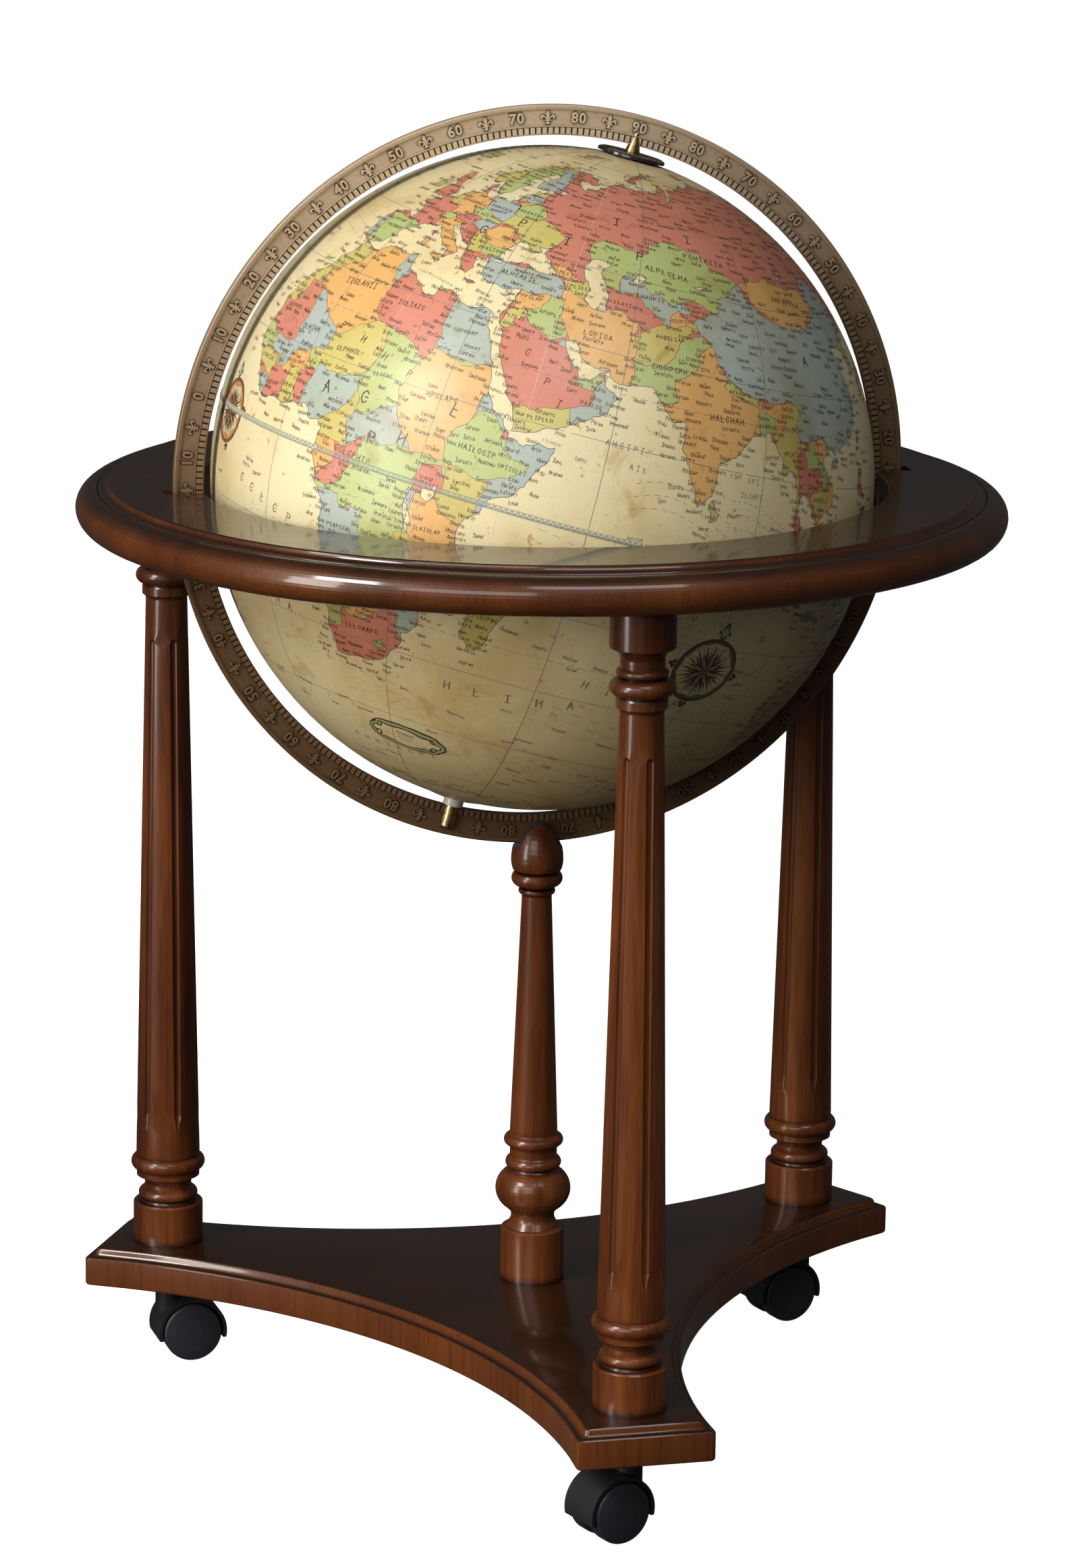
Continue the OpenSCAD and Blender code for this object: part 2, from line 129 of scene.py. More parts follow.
def toned(tree, colour, pattern, share, low, high, tone):
    """Multiplies a colour by a tone where the pattern is below low, fading out towards high."""
    tones = ramp(tree, pattern, [(low, tone), (high, (1.0, 1.0, 1.0))])
    return mix(tree, share, colour, tones, "MULTIPLY")


def shaded(tree, colour, amount):
    """Multiplies a colour by a number from another node."""
    grey = node(tree, "ShaderNodeCombineColor", {k: amount for k in ("Red", "Green", "Blue")})
    return mix(tree, 1.0, colour, grey.outputs["Color"], "MULTIPLY")


def openness(tree, reach):
    """Near 0 in hollows narrower than reach, and 1 in the open."""
    return node(tree, "ShaderNodeAmbientOcclusion", {"Distance": reach}, samples=8).outputs["AO"]


def bump(tree, bsdf, height, distance, strength):
    n = node(tree, "ShaderNodeBump", {"Height": height, "Distance": distance, "Strength": strength})
    tree.links.new(n.outputs["Normal"], bsdf.inputs["Normal"])


def set_inputs(bsdf, **values):
    """Sets sockets by their names, with underscores for spaces."""
    for key, value in values.items():
        bsdf.inputs[key.replace("_", " ")].default_value = value


# ---------------------------------------------------------------- materials

WOOD_DARK = (0.070, 0.017, 0.005)
WOOD_MID = (0.165, 0.045, 0.010)
WOOD_LIGHT = (0.29, 0.088, 0.018)


def wood_material(name, grain, cross=14.0, along=0.9, dark=1.0, top=1.0, figure=1.0, gloss=0.8, painted_shadow_heights=None):
    """Stained wood under lacquer. grain is the turn that lays the grain's length on the local Z axis,
    top is how much of its colour is left on faces that look up, as painted shade, figure how strongly the
    grain shows, and the two heights given last bound a painted shadow that darkens the wood towards its top."""
    mat, tree, bsdf = new_material(name)
    vector = coords(tree, (cross, cross, along), grain)
    broad = noise(tree, vector, 2.2, 4, 0.5, 0.5)
    streak = noise(tree, vector, 16.0, 3, 0.6, 0.2)
    fine = noise(tree, coords(tree, (cross * 9, cross * 9, along * 3), grain), 9.0, 2, 0.5)
    below, above = 0.50 - 0.20 / figure, 0.50 + 0.22 / figure
    colour = ramp(tree, broad, [(below, WOOD_DARK), (0.50, WOOD_MID), (above, WOOD_LIGHT)])
    colour = toned(tree, colour, streak, 0.7 * figure, 0.35, 0.62, (0.62, 0.54, 0.50))
    colour = toned(tree, colour, fine, 0.4, 0.36, 0.46, (0.42, 0.36, 0.34))
    # Painted shade, with some settled glaze: darker in the flutes and other hollows narrower than 6 mm
    recess = to_range(tree, openness(tree, 0.006), 0.04, 1.0, 0.42, 0.96)
    # Painted shade: faces that look up keep only the top share of their colour, and dark scales the colour
    # everywhere
    facing = axis(tree, node(tree, "ShaderNodeNewGeometry").outputs["Normal"], "Z")
    tone_and_top_shade = to_range(tree, facing, dark, dark * top, 0.45, 0.95)
    colour = shaded(tree, colour, product(tree, recess, tone_and_top_shade))
    # Painted shadow: the wood gets darker towards its top, between the two given heights
    if painted_shadow_heights:
        height = axis(tree, node(tree, "ShaderNodeTexCoord").outputs["Object"], "Z")
        colour = shaded(tree, colour, to_range(tree, height, 1.0, 0.42, *painted_shadow_heights))
    tree.links.new(colour, bsdf.inputs["Base Color"])
    tree.links.new(to_range(tree, streak, 0.32, 0.42), bsdf.inputs["Roughness"])
    set_inputs(bsdf, Coat_Weight=gloss, Coat_Roughness=0.20 - 0.14 * gloss, Coat_IOR=1.5)
    set_inputs(bsdf, Specular_IOR_Level=0.3)
    bump(tree, bsdf, fine, 0.0001, 0.25)
    return mat


def metal_material(name, light, dark, rough, grain_scale):
    """Bare metal, speckled with a fine grain."""
    mat, tree, bsdf = new_material(name)
    vector = coords(tree)
    cloud = noise(tree, vector, grain_scale * 0.25, 4, 0.6)
    speck = noise(tree, vector, grain_scale, 3, 0.6)
    colour = mix(tree, to_range(tree, cloud, 0.0, 1.0, 0.35, 0.65), dark, light)
    colour = toned(tree, colour, speck, 0.7, 0.38, 0.55, (0.55, 0.5, 0.42))
    tree.links.new(colour, bsdf.inputs["Base Color"])
    tree.links.new(to_range(tree, cloud, rough * 0.8, rough * 1.25), bsdf.inputs["Roughness"])
    set_inputs(bsdf, Metallic=1.0)
    bump(tree, bsdf, speck, 0.0001, 0.5)
    return mat


def plastic_material(name, colour, rough, texture, depth, coat=0.0):
    """Moulded plastic, with the scale and depth of its texture."""
    mat, tree, bsdf = new_material(name)
    vector = coords(tree)
    cloud = noise(tree, vector, 60.0, 3)
    grain = noise(tree, vector, texture, 2)
    darker = tuple(c * 0.78 for c in colour)
    tree.links.new(mix(tree, cloud, darker, colour), bsdf.inputs["Base Color"])
    tree.links.new(to_range(tree, cloud, rough * 0.85, rough * 1.15), bsdf.inputs["Roughness"])
    set_inputs(bsdf, Coat_Weight=coat, Coat_Roughness=0.06)
    bump(tree, bsdf, grain, depth, 0.4)
    return mat


def bronze_material(name, lit_colour, shaded_brown, deep):
    """Cast bronze: pale towards the top of the ring and on its left, browner lower down and on its right,
    both as painted light and shade; dark in its hollows.
    """
    mat, tree, bsdf = new_material(name)
    vector = coords(tree)
    cloud = noise(tree, vector, 22.0, 4, 0.6)
    cast = noise(tree, vector, 420.0, 4, 0.65)
    grit = noise(tree, vector, 1500.0, 2, 0.6)
    # Painted light and shade: the lit colour towards the top of the ring and on its left, the shaded brown
    # below and on its right
    painted_top_light = to_range(tree, axis(tree, vector, "Z"), 0.0, 1.0, 0.585, 0.80)
    left = to_range(tree, axis(tree, vector, "X"), 1.0, 0.35, 0.04, 0.22)
    colour = mix(tree, product(tree, painted_top_light, left), shaded_brown, lit_colour)
    colour = mix(tree, to_range(tree, openness(tree, 0.0018), 0.0, 1.0, 0.45, 0.92), deep, colour)
    colour = toned(tree, colour, cloud, 0.7, 0.3, 0.65, (0.80, 0.75, 0.68))
    colour = toned(tree, colour, cast, 0.4, 0.34, 0.46, (0.66, 0.6, 0.52))
    tree.links.new(colour, bsdf.inputs["Base Color"])
    tree.links.new(to_range(tree, cast, 0.36, 0.50), bsdf.inputs["Roughness"])
    set_inputs(bsdf, Metallic=0.25, Specular_IOR_Level=0.5)
    bump(tree, bsdf, grit, 0.0001, 0.35)
    return mat


def felt_material():
    mat, tree, bsdf = new_material("black_felt")
    vector = coords(tree)
    fuzz = noise(tree, vector, 1400.0, 4, 0.7)
    colour = mix(tree, fuzz, (0.004, 0.004, 0.004), (0.022, 0.021, 0.02))
    tree.links.new(colour, bsdf.inputs["Base Color"])
    set_inputs(bsdf, Roughness=0.95, Sheen_Weight=0.3, Sheen_Roughness=0.5)
    bump(tree, bsdf, fuzz, 0.0003, 0.8)
    return mat


UPRIGHT = (0, 0, 0)
ALONG_X = (0, math.radians(90), 0)
# Painted shadow towards the top of the turned legs and spindle
mat_leg = wood_material("wood_turned", UPRIGHT, gloss=0.45, painted_shadow_heights=(0.38, 0.54))
# Painted shade on the top faces of the base plate and the horizon ring
mat_base = wood_material("wood_base", ALONG_X, cross=6.0, along=0.8, dark=0.80, top=0.17, figure=0.45)
mat_horizon = wood_material("wood_horizon", ALONG_X, cross=7.0, along=0.7, dark=0.62, top=0.18, figure=0.5)
mat_hoop = wood_material("wood_hoop", ALONG_X, cross=9.0, along=0.8, dark=2.0)
mat_felt = felt_material()
mat_steel = metal_material("steel", (0.62, 0.62, 0.62), (0.42, 0.42, 0.43), 0.3, 900.0)

# Bronze colours: painted light towards the top of the ring, painted shade lower down and on its right, and
# dark in its hollows
BRONZE_FIELD = ((0.60, 0.47, 0.32), (0.155, 0.086, 0.040), (0.030, 0.017, 0.009))
BRONZE_RELIEF = ((0.70, 0.56, 0.38), (0.215, 0.125, 0.060), (0.05, 0.03, 0.015))
BRONZE_HOLLOW = ((0.17, 0.11, 0.06), (0.032, 0.018, 0.009), (0.015, 0.009, 0.005))
mat_bronze = bronze_material("bronze_field", *BRONZE_FIELD)
mat_relief = bronze_material("bronze_relief", *BRONZE_RELIEF)
mat_shadow = bronze_material("bronze_hollow", *BRONZE_HOLLOW)
mat_brass = metal_material("brass", (0.75, 0.52, 0.24), (0.5, 0.33, 0.14), 0.25, 500.0)
mat_dial = plastic_material("dial_black", (0.022, 0.016, 0.013), 0.22, 900.0, 0.00003, 0.6)
mat_white = plastic_material("white_plastic", (0.72, 0.70, 0.62), 0.3, 700.0, 0.00003, 0.3)
mat_hood = plastic_material("hood_black", (0.020, 0.020, 0.022), 0.45, 1500.0, 0.0001)
mat_wheel = plastic_material("wheel_black", (0.034, 0.034, 0.045), 0.42, 900.0, 0.00005)

LOOKS = {
    "base_plate": mat_base,
    "leg_front": mat_leg,
    "leg_right": mat_leg,
    "leg_left": mat_leg,
    "centre_spindle": mat_leg,
    "horizon_ring": mat_horizon,
    "cradle_felt": mat_felt,
    "notch_felts": mat_felt,
    "meridian_ring": mat_bronze,
    "north_pivot_cone": mat_brass,
    "south_pivot_stud": mat_brass,
    "time_dial": mat_dial,
    "joining_hoop": mat_hoop,
    "north_bushing": mat_white,
    "south_spacer": mat_white,
    "south_cap": mat_white,
    "north_hemisphere": mat_white,
    "south_hemisphere": mat_white,
    "equator_tape": mat_white,
}


def look_of(name):
    """Hoods and wheels go by their names, and the hardware that is not in the table is steel."""
    if "hood" in name:
        return mat_hood
    if "wheel" in name:
        return mat_wheel
    return LOOKS.get(name, mat_steel)


for name, obj in nodes.items():
    obj.data.materials.clear()
    obj.data.materials.append(look_of(name))


# ---------------------------------------------------------------- the printed map

MAP_TURN = -156.7  # degrees by which the map's prime meridian stands round from the ball's X axis
PARCHMENT = (0.83, 0.73, 0.46)
# Tint of the painted shade low on the ball
PAINTED_SHADE_TINT = (0.94, 0.77, 0.43)
TINTS = {
    "r": (0.66, 0.25, 0.18),
    "o": (0.78, 0.46, 0.17),
    "y": (0.62, 0.54, 0.18),
    "g": (0.48, 0.56, 0.22),
    "b": (0.43, 0.50, 0.46),
    "w": (0.84, 0.76, 0.52),
}

# Coastlines as longitude and latitude in degrees, each with the tint under its countries
LANDS = {
    "africa g": """-6 36 -2 35 3 37 10 37.3 11 34 15 32.3 18 30.5 20 31 20 33 23 32.7 25 31.7 29 31
        31 31.6 32.5 31.2 32.6 29.8 34 27 35.5 24 37 21 37.4 18.8 39 16 39.8 14.8 42.6 12.6 43.2 11.5
        46 10.8 51.2 11.9 50.5 9 48 4.5 44 1.5 41.5 -2 39.2 -4.8 39.5 -8 40.6 -11 40.6 -15 37 -17.8
        34.8 -20 35.5 -24 32.8 -26 32.5 -28.5 30.5 -31 27 -33.6 22 -34 18.4 -34.2 18.2 -32 16.5 -28.6
        14.5 -23 11.9 -18 13.7 -12 12.3 -6.5 9 -1 9.6 3.5 8.5 4.5 6 4.3 4.3 6.3 1 5.9 -2 4.8 -4 5.2
        -7.6 4.4 -11.5 6.9 -13.3 9.2 -15 11 -16.8 13 -17.4 14.7 -16.3 19 -17 21 -16 23.8 -14.5 26.2
        -13 27.7 -10 29.5 -9.7 31.4 -6.8 34""",
    "eurasia r": """34.2 31.3 34.9 29.5 36.5 26.3 39 21.6 41 18 42.8 15.5 43.4 12.7 45 13 48 14 52 15.6
        55 17.5 57.8 19.3 59.8 22.5 57 24 56.4 26.2 55 25.2 54 24.2 51.8 24.1 51.5 25.9 50.3 25.5
        50 26.8 48.5 28.5 48 30 50 30.2 51.5 27.8 54.5 26.6 57 27 57.5 25.7 61.5 25.2 66.5 25.3
        67.5 23.8 69 22.3 70.5 20.8 72.6 21.6 72.8 19 74 15 75.5 11.6 77.4 8.1 78.3 9 79.8 10.3
        80.2 13.3 80.2 15.6 82.3 16.8 85 19.5 87 21.5 88.5 21.8 91 22.5 92.3 20.8 94.2 18.5 94.4 16
        96.5 16.8 97.6 16 98.5 13 98.6 10 98.3 8 100.2 6.2 101.3 3.2 103.5 1.4 103.4 4.5 102 6.2 100.4 8
        99.3 10 100 13.4 102 12.2 105 8.8 106.7 10.4 109.2 12 108.8 15.3 106.5 17.8 105.8 19.5 108 21.6
        110 20.4 111 21.6 114 22.4 117 23.8 119.5 26 121.6 29 121.5 31 119.5 34.8 120.5 36.2 122.4 37.2
        119 37.4 117.8 39 121.3 40.8 121.5 39 124.5 40 125 38 126.5 36.5 126.5 34.4 129.3 35.3
        129.3 37.2 127.6 39.5 130.5 42.3 133 42.8 136 44.6 140.3 48.5 140.5 52.8 137 54 135.3 54.7
        140 58 143 59.3 150 59.5 155 59.2 160 61.5 164 62.5 156.5 57 156 51.2 159.8 53 162 56 163.5 59
        170 60 179 62.5 187 64.5 190 66 185 67.5 180 69 170 70 160 69.7 150 71.5 140 72.5 128 72
        126 73.5 113 73.8 112 76 104 77.7 98 76 87 75 80.5 73.5 80 72 75 72.5 73.5 68 71 66.5 72.5 71
        69 73 67 69.5 60 69 54 68.5 46 68.2 44 66.3 41 64.7 38 64 35 64.3 33 66.7 38 66.1 41 66.8
        36 69.2 31 69.8 26 71 20 70 15 68 12 65.5 9 63.5 5 61.5 5.5 59 8 58 10.5 59.2 11.5 57.5 13 55.4
        14.3 55.5 16 56.5 17 59 18.8 60 17.2 61.5 18.5 63.2 22 65.8 25 65.2 21.5 62.5 22 60.2 25 60.2
        29.5 60 28 59.5 23.7 59.3 24.3 57.5 21.5 57.4 21 55.2 19 54.3 14 54 11 54 10 56.5 10.5 57.6
        8.2 57 8.6 54 5 53.2 3.5 51.4 1.5 50.7 -1.5 49.6 -4.6 48.4 -1.5 46.5 -1.5 43.6 -8.5 43.5 -9.2 39
        -8.9 37 -6 36.2 -2 36.8 0 38.8 0 40 3 42 4.5 43.4 7.5 43.8 9 44.3 10.5 43 12.5 41.5 15.6 40
        16 38 17 39 18.3 40 16 41.8 13.6 43.6 12.4 45 13.6 45.6 15.5 43.8 19.4 41.8 20 39.5 21.5 37
        23 36.6 24 38 23 40.3 26 40.8 26.3 39.2 27 37 30.5 36.4 34 36.2 36 36.8 35.8 34.5 34.6 32""",
    "britain r": """-5.6 50.1 1.3 51.2 1.7 52.7 0 53.5 -1.5 55 -2 57.6 -4 58.6 -5.8 57.5 -4.8 55 -3 54
        -4.6 53 -5 51.8""",
    "ireland g": "-10 51.7 -6.3 52.3 -5.6 54.6 -8 55.3 -10 54",
    "iceland y": "-22.5 64 -18.5 63.4 -13.6 65 -16 66.4 -24 66.2",
    "sicily o": "12.4 38 15.6 38.3 15.1 36.7",
    "sardinia o": "8.3 41 9.7 40.8 9.4 39 8.4 39",
    "corsica r": "8.6 42.6 9.5 42.9 9.3 41.4",
    "crete r": "23.5 35.6 26.3 35.3 24.7 34.9",
    "cyprus b": "32.3 35 34.5 35.6 33.5 34.6",
    "madagascar y": "49.3 -12 50.5 -15.5 47.5 -24.8 45.5 -25.5 43.4 -23 44.3 -20 44 -17 46.5 -15.7",
    "lanka y": "80 9.7 81.8 7.5 81.2 6.3 80.2 6 79.8 8",
    "sumatra g": "95.3 5.6 98.5 4 103 0 106 -3 105.8 -5.9 103.5 -4.8 100.3 -1",
    "java g": "105.3 -6.8 108.5 -6.8 114.4 -7.8 114.5 -8.7 108 -7.9",
    "borneo g": "109 1.5 111.5 2.8 113.5 3.6 116.8 7 119 5 117.8 1 116.3 -3.8 114.5 -4 110.2 -3",
    "celebes g": "119.5 -5.5 120.5 -3 119.8 0 121 1 125 1.6 121.5 -.2 123.2 -4.2 121 -4.6",
    "timor g": "123.5 -10.3 127.2 -8.4 125 -8.7",
    "guinea b": """131 -.8 134.2 -1 135.2 -3.3 138 -1.7 141 -2.6 145.8 -4.8 147.8 -6.6 150.7 -10.3
        147 -9.5 144 -7.8 141 -9.2 138 -8.3 138 -6.5 135 -4.5 132.8 -4""",
    "luzon r": "120.5 18.5 122.2 18.3 121.5 15.8 124 13 122.5 13.8 120.6 14 120 16",
    "visayas r": "122 11.5 124 12 125.3 12 125 10.5 123 9.3",
    "mindanao r": "122 7.2 123.6 8.6 125.5 9.7 126.3 7.3 125.3 5.7 124 7",
    "honshu o": """131 34.1 133 35.5 136 35.8 137.3 37 139.5 38.5 140.2 41.2 142 39.6 140.8 36 139 34.8
        136.5 34.2 135.5 34.5""",
    "hokkaido o": "140 41.6 141.8 45.4 145.3 43.4 143 42",
    "kyushu o": "130 33.5 132 33.8 134.5 34 134 33.3 132 32.8 131.2 31.3 130.2 31.5",
    "sakhalin r": "142 54 143.3 52 144 49.2 142.8 47.5 142 46 142 50",
    "taiwan y": "120.2 23 121.5 25.2 122 25 121 22.2",
    "hainan b": "108.7 19.2 110.5 20.1 111 19.5 109.5 18.3",
    "australia o": """114 -22 113.6 -26 115.5 -31.5 115 -34.3 118 -35 123.5 -33.9 129 -31.7 132 -32
        135.5 -34.8 137.8 -33 138 -35.6 140.5 -38 146.3 -39 150 -37.5 151.5 -33 153.5 -28.5 153 -25
        149.5 -22 146 -19 145.3 -15 142.5 -10.8 141.5 -13 140.8 -17.5 139 -17.4 135.7 -15 136.7 -12.2
        132.5 -11.3 130.8 -12.5 129.5 -15 126.8 -14 123.6 -17 122 -18.2 119 -20 116.8 -20.7""",
    "tasmania o": "144.8 -40.8 148.2 -41 147.5 -43.4 146 -43.4",
    "north_isle g": "172.7 -34.5 175.8 -37 178.5 -37.7 177 -39.5 175.3 -41.5 174 -39.3 174.8 -37",
    "south_isle g": "172.8 -40.6 174.2 -41.7 171 -44.5 168.5 -46.6 166.5 -46 170.5 -43",
    "novaya r": "52 71 57 70.7 56 73 68 76.8 60 76 54 73.5",
    "severnaya r": "95 79 100 78 105 78.5 100 80.5",
    "svalbard y": "11 79 15 76.7 20 78 26 80 17 80",
    "greenland w": """-73 78 -60 76 -54 70.5 -53 66 -48 61 -43 60 -40 65 -24 69 -20 74 -18 80 -30 83.5
        -60 82""",
    "antarctica w": """-180 -87.9 -180 -78 -155 -77 -130 -74 -100 -73 -75 -72 -60 -64 -62 -74 -45 -78
        -25 -76 -10 -71 10 -70 30 -69 50 -66.5 70 -69 85 -66.5 110 -66 135 -66.5 150 -69 165 -71 165 -78
        180 -78 180 -87.9""",
    "n_america g": """-168 65.6 -162 66.5 -166 68.3 -156.5 71.3 -141 69.7 -128 70 -115 68 -108 68
        -96 67.5 -94 72 -86 69.5 -82 69.5 -81.5 67 -86 66 -94 61 -92.5 57 -82.5 55.2 -82 52 -79 51.5
        -79 54.5 -76.5 57 -78 62.3 -70 61 -65 58.8 -61.5 56.5 -56 52.5 -60 50.2 -66.5 50 -64.5 48.5
        -65 46.5 -61 46 -66 43.6 -70.5 43 -70 41.7 -74 40.6 -76 37 -76 35 -81 31.5 -80 27 -80.5 25.2
        -82.5 28 -84 30 -89.5 29.8 -94 29.5 -97.3 27.5 -97.7 22.5 -95.8 18.7 -91 18.6 -90.3 21 -87 21.4
        -88.5 16 -83.2 15 -83.5 11 -80 9 -77.3 8.6 -80 7.5 -83 8.3 -86 11 -91.5 14 -95 16 -101 17.5
        -105.5 20.3 -106 23 -109.5 26.5 -112.5 29.5 -114.7 31.5 -112 27.5 -109.6 23.2 -112.2 25
        -115 28.5 -117.2 32.5 -120.6 34.5 -123.8 39.5 -124.2 43 -124.6 48.2 -127.5 51 -131 55
        -136.5 58.3 -145 60.3 -151.5 59.5 -158 56.5 -164.5 54.7 -158 58.6 -162 59.5 -165.5 62 -161 64.3""",
    "s_america g": """-77.3 8.6 -72 12 -71.5 10.8 -62 10.7 -57.5 6 -51.5 4.3 -50 0 -44.5 -2.5 -37 -4.8
        -35 -8 -39 -13 -39.5 -18 -41.5 -22.5 -45 -23.5 -48.6 -26.5 -53.4 -33.8 -58 -34.5 -57 -36.5
        -62 -39 -65 -41 -67.5 -46 -66 -48 -69 -52 -68.5 -55 -74 -52 -75.5 -47 -73.5 -41 -73.5 -37
        -71.5 -32 -70.2 -20 -76 -14.5 -79 -8.3 -81.3 -5 -80 -3 -80.5 0 -77.5 4 -77.8 7""",
    "cuba o": "-84.8 22 -82 23.2 -77 21.8 -74.3 20.2 -77.7 19.9 -78.5 21.5",
    "hispaniola y": "-74.4 18.4 -73 19.9 -68.5 18.8 -71.5 17.8",
    "newfoundland r": "-59.2 47.8 -55.5 51.5 -53 47 -56 47",
    "baffin r": "-62 66 -68 70 -80 74 -88 73.5 -78 70 -73 68 -74 64.5 -65 62.5",
    "victoria r": "-117 70 -115 73 -106 73 -102 69 -112 68.6",
    "ellesmere r": "-90 76.5 -78 76.3 -65 81 -70 83 -90 81.5",
}

WATERS = {
    "black": """28 41.5 31.5 41.3 35 42 38.5 41 41.5 41.8 39 44 37 45 38.6 47 35 46.2 36.3 45.2
        33.5 44.5 31 46.5 29.5 45 28 43""",
    "marmara": "26.8 40.4 27.5 41 29.2 41 29 40.4",
    "caspian": """47 45 48 46.4 51.5 47 53 46.5 51 44.5 53 42 54 40 54 37 50.5 37.2 49 38.5 49.8 40.5
        47.6 42.8""",
    "aral": "58.5 44.5 60 46.3 61.8 45.5 60 43.9",
    "balkhash": "74 46.4 76 46.8 79 46.6 76 46.2",
    "baikal": "103.8 51.5 107 52.6 109.8 55.7 108.5 53",
    "victoria_lake": "31.8 -.3 33.5 .3 34 -1 33 -2.5 31.8 -2",
    "tanganyika": "29.2 -3.5 29.8 -4 30.8 -8.4 29.6 -6",
    "ladoga": "30 60.5 31 61.6 33 61.2 32 60.2",
    "superior": "-92 46.8 -88 48.6 -84.8 46.6 -88 47.2",
    "michigan": "-87.8 42 -86.2 42 -85.5 45.8 -88 44.6",
    "huron": "-82.5 43.2 -80 44.6 -84 46 -83.5 44.5",
    "erie": "-83 41.6 -79 42.8 -82 42.4",
}

